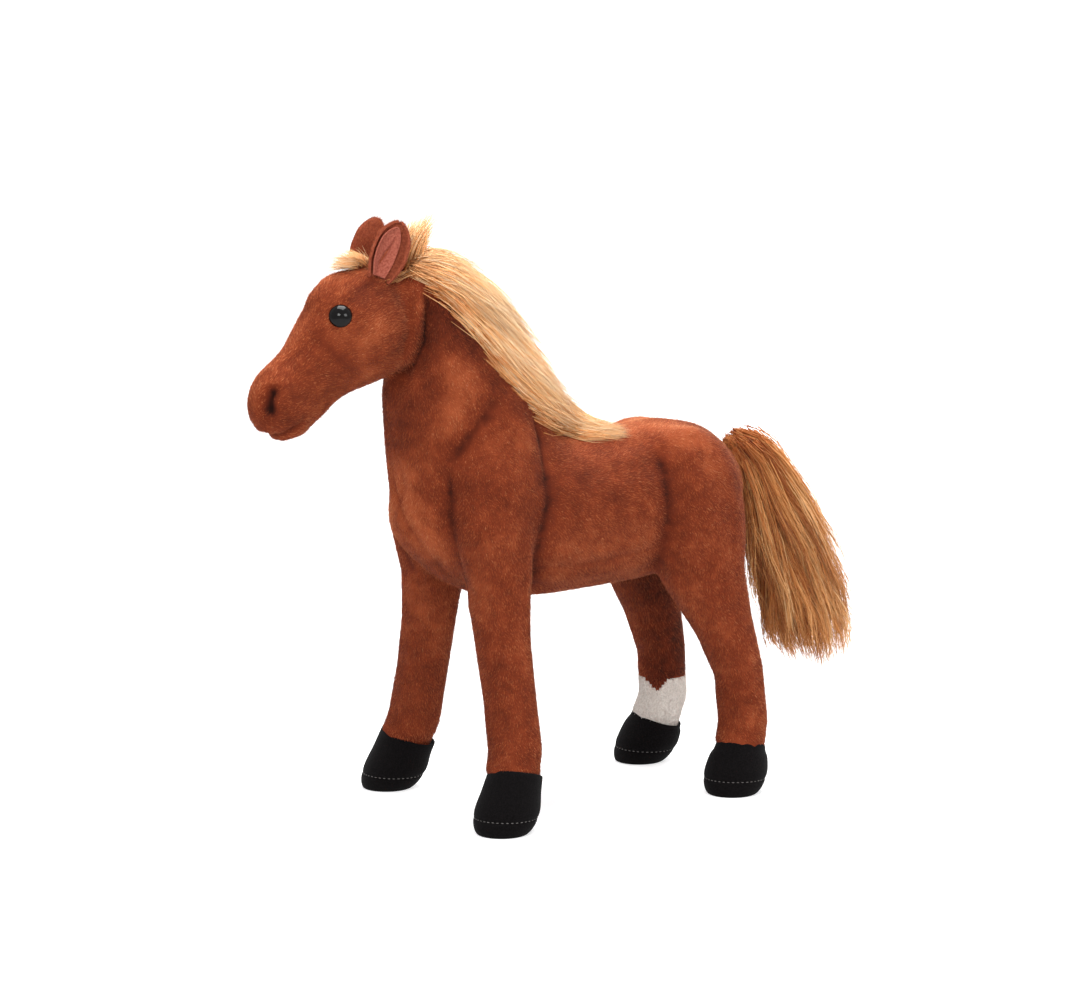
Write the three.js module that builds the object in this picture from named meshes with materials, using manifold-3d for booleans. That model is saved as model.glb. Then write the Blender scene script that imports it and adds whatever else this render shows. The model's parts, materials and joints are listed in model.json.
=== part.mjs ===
// Plush standing horse, sewn from short-pile cloth over fibre stuffing.
// Millimetres, +Z up. The horse faces -X and its left side is on -Y.
// The origin is on the floor, under the middle of the whole toy.
import * as THREE from 'three';
import { mergeVertices } from 'three/addons/utils/BufferGeometryUtils.js';
import Module from 'manifold-3d';

const wasm = await Module();
wasm.setup();

// Cloth and clearances
const plushCloth = 2.2; // short-pile plush with its pile pressed down
const hoofCloth = 1.6; // black short-nap cloth
const sewnGap = 0.3; // left between pieces that touch
const overrun = 60; // how far a cutting block reaches past what it cuts

// Body, from chest to rump
const bodyLength = 212;
const bodyWidth = 92;
const bellyHeight = 113;
const backHeight = 201;
const bodyShares = [
  { along: 0, rise: 0.02, width: 0.86, depth: 0.7 },
  { along: 0.14, rise: 0.03, width: 0.9, depth: 0.88 },
  { along: 0.3, rise: 0, width: 0.97, depth: 1.02 },
  { along: 0.5, rise: -0.02, width: 1, depth: 0.95 },
  { along: 0.7, rise: 0.02, width: 0.92, depth: 0.95 },
  { along: 0.86, rise: 0.05, width: 0.9, depth: 0.94 },
  { along: 1, rise: 0.06, width: 0.86, depth: 0.88 },
];

const bodyRoundShares = { roundStart: 0.2, roundEnd: 0.22 };
const bodyFineness = { steps: 5, sides: 16 };

// Neck, from inside the withers to the poll
const neckReach = 50;
const neckRise = 128;
const neckDepth = 88;
const neckWidth = 74;
const neckRootShares = { along: 0.269, rise: 0.08 };
const neckSpineShares = [
  { ahead: 0, rise: 0 },
  { ahead: 0.3, rise: 0.25 },
  { ahead: 0.52, rise: 0.48 },
  { ahead: 0.75, rise: 0.74 },
  { ahead: 1, rise: 1 },
];
const neckShares = [
  { along: 0, width: 1.02, depth: 1.04 },
  { along: 0.24, width: 1, depth: 1.06 },
  { along: 0.48, width: 0.8, depth: 0.87 },
  { along: 0.74, width: 0.66, depth: 0.63 },
  { along: 1, width: 0.58, depth: 0.46 },
];

const neckRoundShares = { roundStart: 0, roundEnd: 0.16 };
const neckFineness = { steps: 5, sides: 14 };

// Head, from the muzzle to the back of the skull
const headLength = 106;
const headDepth = 60;
const headWidth = 45;
const headSlope = THREE.MathUtils.degToRad(33.5);
const skullShares = { ahead: 1.03, rise: 0.89 };
const headSpineShares = [
  { along: 0, rise: -0.04 },
  { along: 0.2, rise: -0.08 },
  { along: 0.45, rise: 0 },
  { along: 0.75, rise: 0.03 },
  { along: 1, rise: 0 },
];
const headShares = [
  { along: 0, width: 0.7, depth: 0.56 },
  { along: 0.14, width: 0.72, depth: 0.66 },
  { along: 0.3, width: 0.7, depth: 0.67 },
  { along: 0.46, width: 0.84, depth: 0.8 },
  { along: 0.62, width: 0.99, depth: 0.97 },
  { along: 0.8, width: 1, depth: 1 },
  { along: 1, width: 0.92, depth: 0.9 },
];

const headRoundShares = { roundStart: 0.16, roundEnd: 0.3 };
const headFineness = { steps: 6, sides: 14 };

// Hooves
const hoofWidth = 33.5;
const hoofLength = 34.5;
const hoofBulge = 9; // height of the widest place
const soleHeight = 8; // height of the stitched seam above the sole
const soleWidth = 27; // flat that stands on the floor

const hoofFineness = { steps: 5, sides: 10 };

// Legs, from the shoulder or haunch to the ankle at the hoof's top edge
const legRoundShares = { roundStart: 0.16, roundEnd: 0 };
const legFineness = { steps: 6, sides: 10 };
const forelegs = {
  pair: 'foreleg',
  hoof: 'fore',
  stance: 62, // middle of each sole from the middle plane
  hoofPlace: 27.5, // middle of each sole behind the chest
  ankleStance: 57,
  anklePlace: 39.2,
  hoofHeight: 29.5,
  ankle: 29.2,
  topDepth: 56,
  topWidth: 40,
  rootShares: { along: 0.195, side: 0.43, rise: 0.58 },
  spineShares: [
    { down: 0, ahead: 0, out: 0 },
    { down: 0.23, ahead: 0, out: 0.19 },
    { down: 0.44, ahead: 0, out: 0.38 },
    { down: 0.61, ahead: 0, out: 0.51 },
    { down: 0.785, ahead: 0.05, out: 0.72 },
    { down: 0.93, ahead: 0.5, out: 0.905 },
    { down: 1, ahead: 1, out: 1 },
  ],
  shares: [
    { along: 0, width: 0.8, depth: 0.96 },
    { along: 0.15, width: 0.88, depth: 1 },
    { along: 0.28, width: 1, depth: 0.92 },
    { along: 0.375, width: 0.55, depth: 0.3 },
    { along: 0.455, width: 0.35, depth: 0.16 },
    { along: 0.53, width: 0.14, depth: 0.06 },
    { along: 0.7, width: -0.05, depth: -0.03 },
    { along: 0.88, width: 0, depth: 0 },
    { along: 1, width: 0, depth: 0 },
  ],
};
const hindlegs = {
  pair: 'hindleg',
  hoof: 'hind',
  stance: 47,
  hoofPlace: 181,
  ankleStance: 42,
  anklePlace: 190.9,
  hoofHeight: 25.5,
  ankle: 27.8,
  topDepth: 68,
  topWidth: 42,
  rootShares: { along: 0.736, side: 0.44, rise: 0.48 },
  spineShares: [
    { down: 0, ahead: 0, out: 0 },
    { down: 0.22, ahead: 0.235, out: 0.27 },
    { down: 0.43, ahead: 0.44, out: 0.51 },
    { down: 0.52, ahead: 0.565, out: 0.58 },
    { down: 0.61, ahead: 0.73, out: 0.72 },
    { down: 0.7, ahead: 0.89, out: 0.81 },
    { down: 0.78, ahead: 0.985, out: 0.86 },
    { down: 0.9, ahead: 1.04, out: 0.9 },
    { down: 1, ahead: 1, out: 1 },
  ],
  shares: [
    { along: 0, width: 0.6, depth: 0.9 },
    { along: 0.2, width: 1, depth: 1 },
    { along: 0.36, width: 1, depth: 0.76 },
    { along: 0.43, width: 0.75, depth: 0.48 },
    { along: 0.53, width: 0.44, depth: 0.21 },
    { along: 0.61, width: 0.21, depth: 0.09 },
    { along: 0.69, width: 0.04, depth: 0.015 },
    { along: 0.78, width: -0.09, depth: -0.035 },
    { along: 0.88, width: 0, depth: 0 },
    { along: 1, width: 0, depth: 0 },
  ],
};

// White sock above the right hind hoof, with a jagged top
const sockHeight = 21;
const sockJag = 4;
const sockTopShares = [
  { along: -1, rise: 0.3 },
  { along: -0.85, rise: -0.9 },
  { along: -0.65, rise: -0.9 },
  { along: -0.35, rise: 0.2 },
  { along: -0.1, rise: 0.9 },
  { along: 0.5, rise: 0.8 },
  { along: 1, rise: 0.5 },
];

// Eyes, each a glossy domed button on a stem, held by a washer inside the head
const eyeDiameter = 12.6;
const eyeDome = 3.6;
const eyeSink = 1;
const stemDiameter = 3;
const stemTail = 1.2; // stem beyond the washer
const socketReach = 15; // of the cutting solids, to each side of the head's surface
const eyeRim = 0.8; // straight edge of the button below its dome
const washerDiameter = 13;
const washerThickness = 1.2;
const washerSeat = 1.5; // washer behind the cloth, which curves away from it
const eyeShares = { along: 0.604, turn: 0.11 };
const eyeSideCount = 12;
const washerSideCount = 10;
const domeStepCount = 3; // of every rounded end, buttons too

// Ears, each a cupped leaf of plush with a smooth lining, sewn at its base
const earLength = 27;
const earWidth = 18;
const earCup = 5.5;
const earCloth = 2.2;
const liningCloth = 0.9;
const earBead = 4; // thickness of the rolled base seam
const earBaseWidth = 11;
const earLean = THREE.MathUtils.degToRad(24); // tips lean back
const earSplay = THREE.MathUtils.degToRad(3); // tips lean apart
const earTurn = THREE.MathUtils.degToRad(84); // openings turn outwards
const earPlaceShares = { along: 0.885, turn: 0.158 };
const earLeafShares = [
  { along: 0, width: 0.62, cup: 0 },
  { along: 0.2, width: 0.92, cup: 0.45 },
  { along: 0.4, width: 1, cup: 1 },
  { along: 0.65, width: 0.82, cup: 0.8 },
  { along: 0.86, width: 0.5, cup: 0.3 },
  { along: 1, width: 0.16, cup: 0 },
];
const liningShares = { width: 0.78, start: 0.14, end: 0.92 };
const earFineness = { steps: 6, sides: 6 };
const earBeadSideCount = 8;

// Mane along the crest, and the forelock between the ears
const maneDepth = 30;
const maneWidth = 44;
const maneLift = 0.5;
const maneTurnShare = 0.65; // round the neck; the crest is at 0.75 and the left side at 0.5
const maneCrestShares = [0.95, 0.78, 0.6, 0.44];
const manePollShares = { along: 0.97, lift: 2 };
const maneWithersShares = [{ along: 0.46, lift: 0.5 }, { along: 0.585, lift: -0.5 }];
const maneShares = [
  { along: 0, width: 0.4, depth: 0.66 },
  { along: 0.18, width: 0.64, depth: 0.6 },
  { along: 0.5, width: 1, depth: 1 },
  { along: 0.8, width: 0.85, depth: 0.95 },
  { along: 1, width: 0.5, depth: 0.5 },
];
const maneRoundShares = { roundStart: 0.08, roundEnd: 0.2 };
const maneFineness = { steps: 7, sides: 10 };
const forelockDepth = 8;
const forelockWidth = 12;
const forelockLift = 1;
const forelockShares = [0.89, 0.83, 0.77, 0.71];
const forelockRows = [
  { along: 0, width: 0.9, depth: 1 },
  { along: 0.5, width: 1, depth: 1 },
  { along: 1, width: 0.7, depth: 0.5 },
];
const forelockRoundShares = { roundStart: 0.3, roundEnd: 0.5 };
const forelockFineness = { steps: 3, sides: 8 };

// Tail, a long-pile tuft on a gathered knot at the top of the rump
const knotDiameter = 10;
const tailReach = 60;
const tailDrop = 131;
const tailDepth = 56;
const tailWidth = 32;
const tailPlaceShare = 0.973; // of the way from chest to rump, on top
const tailSpineShares = [
  { back: 0, down: 0 },
  { back: 0.14, down: -0.005 },
  { back: 0.32, down: 0.075 },
  { back: 0.49, down: 0.22 },
  { back: 0.66, down: 0.43 },
  { back: 0.81, down: 0.66 },
  { back: 0.93, down: 0.87 },
  { back: 1, down: 1 },
];
const tailShares = [
  { along: 0, width: 0.36, depth: 0.2 },
  { along: 0.14, width: 0.5, depth: 0.38 },
  { along: 0.3, width: 0.74, depth: 0.64 },
  { along: 0.5, width: 0.92, depth: 0.84 },
  { along: 0.72, width: 1, depth: 1 },
  { along: 0.9, width: 0.9, depth: 0.95 },
  { along: 1, width: 0.8, depth: 0.8 },
];
const tailRoundShares = { roundStart: 0.06, roundEnd: 0.16 };
const tailFineness = { steps: 7, sides: 10 };
const knotFineness = { sides: 10, rows: 6 };

// Finishes
const brownPlush = { color: 0x98502e, roughness: 0.95 };
const darkPlush = { color: 0x86402a, roughness: 0.95 };
const whitePlush = { color: 0xe9e4dc, roughness: 0.95 };
const paleFur = { color: 0xd5a381, roughness: 0.9 };
const goldFur = { color: 0xaf7249, roughness: 0.9 };
const fibre = { color: 0xf2f0ea, roughness: 1 };
const blackCloth = { color: 0x191415, roughness: 0.9 };
const earLining = { color: 0x9b4a3b, roughness: 0.8 };
const blackGloss = { color: 0x0b0a0a, roughness: 0.08 };
const whitePlastic = { color: 0xdedede, roughness: 0.5 };

const UP = new THREE.Vector3(0, 0, 1);
const ACROSS = new THREE.Vector3(0, 1, 0);

// Value of one column of a table at a place along it, on a smooth curve
function valueAt(rows, column, along) {
  const last = rows.length - 1;
  let i = 0;
  while (i < last - 1 && along > rows[i + 1].along) i += 1;
  const slope = (k) => {
    const before = rows[Math.max(k - 1, 0)];
    const after = rows[Math.min(k + 1, last)];
    return (after[column] - before[column]) / (after.along - before.along);
  };
  const span = rows[i + 1].along - rows[i].along;
  const u = THREE.MathUtils.clamp((along - rows[i].along) / span, 0, 1);
  const rise = rows[i + 1][column] - rows[i][column];
  const bend0 = slope(i) * span - rise;
  const bend1 = rise - slope(i + 1) * span;
  return rows[i][column] + u * rise + u * (1 - u) * (bend0 * (1 - u) + bend1 * u);
}

// How far a rounded end has closed in at this place, from 0 at its tip to 1
function endScale(form, t) {
  const first = form.roundStart ? Math.min(t / form.roundStart, 1) : 1;
  const last = form.roundEnd ? Math.min((1 - t) / form.roundEnd, 1) : 1;
  const near = Math.min(first, last);
  return Math.sqrt(Math.max(1 - (1 - near) ** 2, 0));
}

// Middle, axes and half sizes of a form's section, drawn in by an inset
function sectionAt(form, t, inset) {
  const tangent = form.spine.getTangentAt(t);
  const depthAxis = new THREE.Vector3().crossVectors(tangent, ACROSS).normalize();
  const widthAxis = new THREE.Vector3().crossVectors(depthAxis, tangent).normalize();
  const middle = form.spine.getPointAt(t);
  if (form.roundStart) middle.addScaledVector(tangent, inset * Math.max(1 - t / form.roundStart, 0));
  if (form.roundEnd) middle.addScaledVector(tangent, -inset * Math.max(1 - (1 - t) / form.roundEnd, 0));
  const scale = endScale(form, t);
  const halfWidth = (form.halfWidth(t) - inset) * scale;
  const halfDepth = (form.halfDepth(t) - inset) * scale;
  return { middle, depthAxis, widthAxis, halfWidth, halfDepth };
}

// Point on a form's skin; the angle runs from the +Y side towards the depth axis
function skinPoint(form, t, angle, inset = 0) {
  const s = sectionAt(form, t, inset);
  return s.middle
    .addScaledVector(s.widthAxis, s.halfWidth * Math.cos(angle))
    .addScaledVector(s.depthAxis, s.halfDepth * Math.sin(angle));
}

// Outward direction there
function skinNormal(form, t, angle) {
  const step = 0.01;
  const along = skinPoint(form, t + step, angle).sub(skinPoint(form, t - step, angle));
  const round = skinPoint(form, t, angle + step).sub(skinPoint(form, t, angle - step));
  const normal = along.cross(round).normalize();
  const outward = skinPoint(form, t, angle).sub(form.spine.getPointAt(t));
  return normal.dot(outward) < 0 ? normal.negate() : normal;
}

// Places of a form's sections, close together where an end is rounded
function sectionPlaces(form) {
  const places = [];
  const dome = (k) => 1 - Math.cos((k / domeStepCount) * (Math.PI / 2));
  for (let k = 1; form.roundStart && k < domeStepCount; k += 1) places.push(form.roundStart * dome(k));
  const middle = (k) => THREE.MathUtils.lerp(form.roundStart, 1 - form.roundEnd, k / form.steps);
  for (let k = 0; k <= form.steps; k += 1) places.push(middle(k));
  for (let k = domeStepCount - 1; form.roundEnd && k > 0; k -= 1) places.push(1 - form.roundEnd * dome(k));
  return places;
}

// Closed solid through rings of points, with a middle point at each end
function ringSolid(rings, firstPoint, lastPoint) {
  const sides = rings[0].length;
  const points = [firstPoint, ...rings.flat(), lastPoint];
  const faces = [];
  const at = (ring, side) => 1 + ring * sides + (side % sides);
  for (let s = 0; s < sides; s += 1) {
    faces.push([0, at(0, s + 1), at(0, s)]);
    for (let r = 0; r + 1 < rings.length; r += 1) {
      faces.push([at(r, s), at(r, s + 1), at(r + 1, s + 1)]);
      faces.push([at(r, s), at(r + 1, s + 1), at(r + 1, s)]);
    }
    faces.push([at(rings.length - 1, s), at(rings.length - 1, s + 1), points.length - 1]);
  }
  return manifoldOf(points, faces);
}

// Manifold solid from points and faces, turned right side out
function manifoldOf(points, faces) {
  const flat = points.flatMap((p) => [p.x, p.y, p.z]);
  const six = faces.reduce((sum, [a, b, c]) => (
    sum + points[a].dot(new THREE.Vector3().crossVectors(points[b], points[c]))), 0);
  const wound = six < 0 ? faces.map(([a, b, c]) => [a, c, b]) : faces;
  return new wasm.Manifold(new wasm.Mesh({
    numProp: 3,
    vertProperties: new Float32Array(flat),
    triVerts: new Uint32Array(wound.flat()),
  }));
}

// Manifold solid from a closed three.js geometry
function solidOf(geometry) {
  const bare = geometry.clone();
  bare.deleteAttribute('normal');
  bare.deleteAttribute('uv');
  const merged = mergeVertices(bare);
  const place = merged.attributes.position;
  const points = [];
  for (let i = 0; i < place.count; i += 1) points.push(new THREE.Vector3().fromBufferAttribute(place, i));
  const faces = [];
  for (let i = 0; i < merged.index.count; i += 3) {
    const face = [merged.index.getX(i), merged.index.getX(i + 1), merged.index.getX(i + 2)];
    if (new Set(face).size === 3) faces.push(face);
  }
  return manifoldOf(points, faces);
}

// Swelling, tapering solid of a form, drawn in by an inset (or let out if negative)
function loft(form, inset = 0) {
  const rings = sectionPlaces(form).map((t) => {
    const ring = [];
    for (let k = 0; k < form.sides; k += 1) {
      ring.push(skinPoint(form, t, (k / form.sides) * 2 * Math.PI, inset));
    }
    return ring;
  });
  return ringSolid(rings, sectionAt(form, 0, inset).middle, sectionAt(form, 1, inset).middle);
}

// A solid less others; crumbs left between two cuts are dropped
function cut(solid, ...tools) {
  const left = tools.reduce((rest, tool) => rest.subtract(tool), solid);
  const pieces = left.decompose().sort((a, b) => b.volume() - a.volume());
  return pieces[0];
}

// Block that fills everything above or below a height
function blockBeyond(height, side) {
  const box = new THREE.BoxGeometry(2 * bodyLength, 2 * bodyLength, 2 * bodyLength);
  box.translate(0, 0, height + side * bodyLength);
  return solidOf(box);
}

// The object as it stands, piece by piece
const horse = new THREE.Group();

function addMesh(name, solid, finish, parent = horse) {
  const mesh = solid.getMesh();
  const geometry = new THREE.BufferGeometry();
  geometry.setAttribute('position', new THREE.Float32BufferAttribute(mesh.vertProperties, 3));
  geometry.setIndex(new THREE.Uint32BufferAttribute(mesh.triVerts, 1));
  geometry.computeVertexNormals();
  const piece = new THREE.Mesh(geometry, new THREE.MeshStandardMaterial({ metalness: 0, ...finish }));
  piece.name = name;
  parent.add(piece);
  return piece;
}

// Body form
const bodyDepth = backHeight - bellyHeight;
const bodyMiddle = (backHeight + bellyHeight) / 2;
const chestPlace = -bodyLength / 2;

function bodyPoint(along, side, rise) {
  return new THREE.Vector3(
    chestPlace + along * bodyLength,
    (side * bodyWidth) / 2,
    bodyMiddle + rise * bodyDepth,
  );
}

const body = {
  spine: new THREE.CatmullRomCurve3(bodyShares.map((r) => bodyPoint(r.along, 0, r.rise))),
  halfWidth: (t) => (bodyWidth / 2) * valueAt(bodyShares, 'width', t),
  halfDepth: (t) => (bodyDepth / 2) * valueAt(bodyShares, 'depth', t),
  ...bodyRoundShares,
  ...bodyFineness,
};

// Neck form
const neckRoot = bodyPoint(neckRootShares.along, 0, neckRootShares.rise);

function neckPoint(ahead, rise) {
  return new THREE.Vector3(neckRoot.x - ahead * neckReach, 0, neckRoot.z + rise * neckRise);
}

const neck = {
  spine: new THREE.CatmullRomCurve3(neckSpineShares.map((r) => neckPoint(r.ahead, r.rise))),
  halfWidth: (t) => (neckWidth / 2) * valueAt(neckShares, 'width', t),
  halfDepth: (t) => (neckDepth / 2) * valueAt(neckShares, 'depth', t),
  ...neckRoundShares,
  ...neckFineness,
};

// Head form; its depth axis points to the forehead
const skull = neckPoint(skullShares.ahead, skullShares.rise);

function headPoint(along, rise) {
  const ahead = (1 - along) * headLength;
  const lift = rise * headDepth;
  return new THREE.Vector3(
    skull.x - ahead * Math.cos(headSlope) - lift * Math.sin(headSlope),
    0,
    skull.z - ahead * Math.sin(headSlope) + lift * Math.cos(headSlope),
  );
}

const head = {
  spine: new THREE.CatmullRomCurve3(headSpineShares.map((r) => headPoint(r.along, r.rise))),
  halfWidth: (t) => (headWidth / 2) * valueAt(headShares, 'width', t),
  halfDepth: (t) => (headDepth / 2) * valueAt(headShares, 'depth', t),
  ...headRoundShares,
  ...headFineness,
};

// Leg form, on the left (side -1) or the right (side 1)
function legForm(leg, side) {
  const root = bodyPoint(leg.rootShares.along, side * leg.rootShares.side, leg.rootShares.rise);
  const foot = new THREE.Vector3(chestPlace + leg.hoofPlace, side * leg.stance, 0);
  const ankle = new THREE.Vector3(chestPlace + leg.anklePlace, side * leg.ankleStance, leg.hoofHeight);
  const points = leg.spineShares.map((r) => new THREE.Vector3(
    THREE.MathUtils.lerp(root.x, ankle.x, r.ahead),
    THREE.MathUtils.lerp(root.y, ankle.y, r.out),
    THREE.MathUtils.lerp(root.z, ankle.z, r.down),
  ));
  points.push(new THREE.Vector3().lerpVectors(ankle, foot, 0.5));
  const mix = (top, share) => (leg.ankle + (top - leg.ankle) * share) / 2;
  return {
    spine: new THREE.CatmullRomCurve3(points),
    halfWidth: (t) => mix(leg.topWidth, valueAt(leg.shares, 'width', t)),
    halfDepth: (t) => mix(leg.topDepth, valueAt(leg.shares, 'depth', t)),
    ...legRoundShares,
    ...legFineness,
    foot,
    ankle,
  };
}

// Outline of a hoof from its sole up to its top edge, drawn in by an inset
function hoofOutline(leg, inset) {
  const curve = new THREE.SplineCurve([
    new THREE.Vector2(soleWidth / 2, 0),
    new THREE.Vector2(hoofWidth / 2, hoofBulge),
    new THREE.Vector2((hoofWidth + leg.ankle) / 4, (hoofBulge + leg.hoofHeight) / 2),
    new THREE.Vector2(leg.ankle / 2, leg.hoofHeight),
  ]);
  return curve
    .getPoints(hoofFineness.steps)
    .map((p) => new THREE.Vector2(p.x - inset, Math.max(p.y, inset)));
}

// Part of an outline between two heights, with new points at the cuts
function between(outline, low, high) {
  const at = (height) => {
    const above = outline.findIndex((p) => p.y >= height);
    const i = above < 0 ? outline.length - 1 : Math.max(above, 1);
    const share = (height - outline[i - 1].y) / (outline[i].y - outline[i - 1].y);
    return new THREE.Vector2().lerpVectors(outline[i - 1], outline[i], share);
  };
  const inner = outline.filter((p) => p.y > low && p.y < high);
  return [at(low), ...inner, at(high)];
}

// Turned solid, longer from toe to heel than it is wide, leaning from its sole to the ankle
function turnedHoof(profile, { foot, ankle }) {
  const geometry = new THREE.LatheGeometry(profile, hoofFineness.sides);
  geometry.rotateX(Math.PI / 2);
  geometry.scale(hoofLength / hoofWidth, 1, 1);
  const leanX = (ankle.x - foot.x) / ankle.z;
  const leanY = (ankle.y - foot.y) / ankle.z;
  const lean = new THREE.Matrix4().makeShear(0, 0, 0, 0, leanX, leanY);
  geometry.applyMatrix4(lean.setPosition(foot));
  return solidOf(geometry);
}

// Side panel of a hoof, or with room to spare around it the space that it needs
function hoofUpper(leg, form, spare = 0) {
  const low = soleHeight + sewnGap;
  const high = leg.hoofHeight - sewnGap + spare;
  const outer = between(hoofOutline(leg, -spare), low, high);
  const inner = between(hoofOutline(leg, hoofCloth + spare), low, high).reverse();
  return turnedHoof([...outer, ...inner, outer[0]], form);
}

function hoofSole(leg, form) {
  const outer = between(hoofOutline(leg, 0), 0, soleHeight);
  const inner = between(hoofOutline(leg, hoofCloth), hoofCloth, soleHeight).reverse();
  const floor = new THREE.Vector2(0, 0);
  const inside = new THREE.Vector2(0, hoofCloth);
  return turnedHoof([floor, ...outer, ...inner, inside], form);
}

function hoofStuffing(leg, form) {
  const inset = hoofCloth + sewnGap;
  const high = leg.hoofHeight - sewnGap;
  const outline = between(hoofOutline(leg, inset), inset, high);
  return turnedHoof([new THREE.Vector2(0, inset), ...outline, new THREE.Vector2(0, high)], form);
}

// Space under the jagged top of the sock, seen from the side
function sockSpace(ankle, lift) {
  const half = hindlegs.ankle / 2;
  const top = sockTopShares.map((r) => new THREE.Vector2(
    ankle.x + r.along * (half + plushCloth),
    ankle.z + sockHeight + r.rise * sockJag + lift,
  ));
  const shape = new THREE.Shape([
    new THREE.Vector2(ankle.x - overrun, 0),
    new THREE.Vector2(ankle.x - overrun, top[0].y),
    ...top,
    new THREE.Vector2(ankle.x + overrun, top[top.length - 1].y),
    new THREE.Vector2(ankle.x + overrun, 0),
  ]);
  const geometry = new THREE.ExtrudeGeometry(shape, { depth: 2 * overrun, bevelEnabled: false });
  geometry.rotateX(Math.PI / 2);
  geometry.translate(0, ankle.y + overrun, 0);
  return solidOf(geometry);
}

const sideName = (side) => (side < 0 ? 'left' : 'right');
const bodyLetOut = loft(body, -sewnGap);
const neckLetOut = loft(neck, -sewnGap);
const headLetOut = loft(head, -sewnGap);
const legForms = [forelegs, hindlegs].flatMap((leg) => [-1, 1].map((side) => ({
  leg,
  side,
  form: legForm(leg, side),
})));

// One leg: its cloth, its stuffing, the hoof's two panels and, on one leg, the sock
function addLeg({ leg, side, form }) {
  const name = `${leg.pair}_${sideName(side)}`;
  const hoof = `hoof_${leg.hoof}_${sideName(side)}`;
  const ground = blockBeyond(leg.hoofHeight, -1);
  let cloth = cut(loft(form), loft(form, plushCloth), bodyLetOut, neckLetOut, ground);
  if (leg === hindlegs && side > 0) {
    addMesh('sock_hind_right', cloth.intersect(sockSpace(form.ankle, 0)), whitePlush);
    cloth = cut(cloth, sockSpace(form.ankle, sewnGap));
  }
  addMesh(`${name}_skin`, cloth, darkPlush);
  const below = blockBeyond(leg.hoofHeight - 2 * sewnGap, -1);
  const rim = hoofUpper(leg, form, sewnGap);
  const filling = cut(loft(form, plushCloth + sewnGap), loft(body, plushCloth), neckLetOut, below, rim);
  const stuffing = filling.add(hoofStuffing(leg, form));
  addMesh(`${name}_stuffing`, stuffing, fibre);
  addMesh(`${hoof}_upper`, hoofUpper(leg, form), blackCloth);
  addMesh(`${hoof}_sole`, hoofSole(leg, form), blackCloth);
}

function addBody() {
  const openings = legForms.map(({ form }) => loft(form, plushCloth));
  const cloth = cut(loft(body), loft(body, plushCloth), loft(neck, plushCloth), ...openings);
  addMesh('torso_skin', cloth, brownPlush);
  addMesh('torso_stuffing', loft(body, plushCloth + sewnGap), fibre);
}

function addNeck() {
  const cloth = cut(loft(neck), loft(neck, plushCloth), bodyLetOut, headLetOut);
  addMesh('neck_skin', cloth, darkPlush);
  const filling = cut(loft(neck, plushCloth + sewnGap), loft(body, plushCloth), loft(head, plushCloth));
  addMesh('neck_stuffing', filling, fibre);
}

// Matrix that stands +Z along a direction at a place
function standing(place, direction) {
  const turn = new THREE.Quaternion().setFromUnitVectors(UP, direction);
  return new THREE.Matrix4().compose(place, turn, new THREE.Vector3(1, 1, 1));
}

function lathe(pairs, segments) {
  const geometry = new THREE.LatheGeometry(pairs.map(([r, z]) => new THREE.Vector2(r, z)), segments);
  return geometry.rotateX(Math.PI / 2);
}

const stemBottom = -(plushCloth + washerSeat + washerThickness + stemTail);

function eyeGeometry() {
  const radius = eyeDiameter / 2;
  const dome = [];
  for (let k = 0; k <= domeStepCount; k += 1) {
    const angle = (k / domeStepCount) * (Math.PI / 2);
    dome.push([radius * Math.cos(angle), eyeRim - eyeSink + eyeDome * Math.sin(angle)]);
  }
  dome[domeStepCount][0] = 0;
  const stem = stemDiameter / 2;
  const foot = [[0, stemBottom], [stem, stemBottom], [stem, -eyeSink], [radius, -eyeSink]];
  return lathe([...foot, ...dome], eyeSideCount);
}

function washerGeometry() {
  const inner = stemDiameter / 2 + sewnGap;
  const outer = washerDiameter / 2;
  const top = -(plushCloth + washerSeat);
  const bottom = top - washerThickness;
  const outline = [[inner, bottom], [outer, bottom], [outer, top], [inner, top]];
  return lathe([...outline, outline[0]], washerSideCount);
}

// Room for the button and its stem through the cloth
function eyeHole() {
  const stem = stemDiameter / 2 + sewnGap;
  const button = eyeDiameter / 2 + sewnGap;
  const seat = -(eyeSink + sewnGap);
  return lathe([[0, -socketReach], [stem, -socketReach], [stem, seat], [button, seat],
    [button, socketReach], [0, socketReach]], eyeSideCount);
}

// Room for the washer and the stem's tail in the stuffing
function washerPocket() {
  const radius = washerDiameter / 2 + sewnGap;
  const bottom = stemBottom - sewnGap;
  return lathe([[0, bottom], [radius, bottom], [radius, socketReach], [0, socketReach]], washerSideCount);
}

function addHead() {
  let cloth = cut(loft(head), loft(head, plushCloth), loft(neck, plushCloth));
  let filling = loft(head, plushCloth + sewnGap);
  for (const side of [-1, 1]) {
    const turn = side < 0 ? 0.5 - eyeShares.turn : eyeShares.turn;
    const angle = turn * 2 * Math.PI;
    const place = skinPoint(head, eyeShares.along, angle);
    const matrix = standing(place, skinNormal(head, eyeShares.along, angle));
    cloth = cut(cloth, solidOf(eyeHole().applyMatrix4(matrix)));
    filling = cut(filling, solidOf(washerPocket().applyMatrix4(matrix)));
    const socket = new THREE.Group();
    socket.applyMatrix4(matrix);
    horse.add(socket);
    addMesh(`eye_${sideName(side)}`, solidOf(eyeGeometry()), blackGloss, socket);
    addMesh(`eye_washer_${sideName(side)}`, solidOf(washerGeometry()), whitePlastic, socket);
  }
  addMesh('head_skin', cloth, darkPlush);
  addMesh('head_stuffing', filling, fibre);
}

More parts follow.
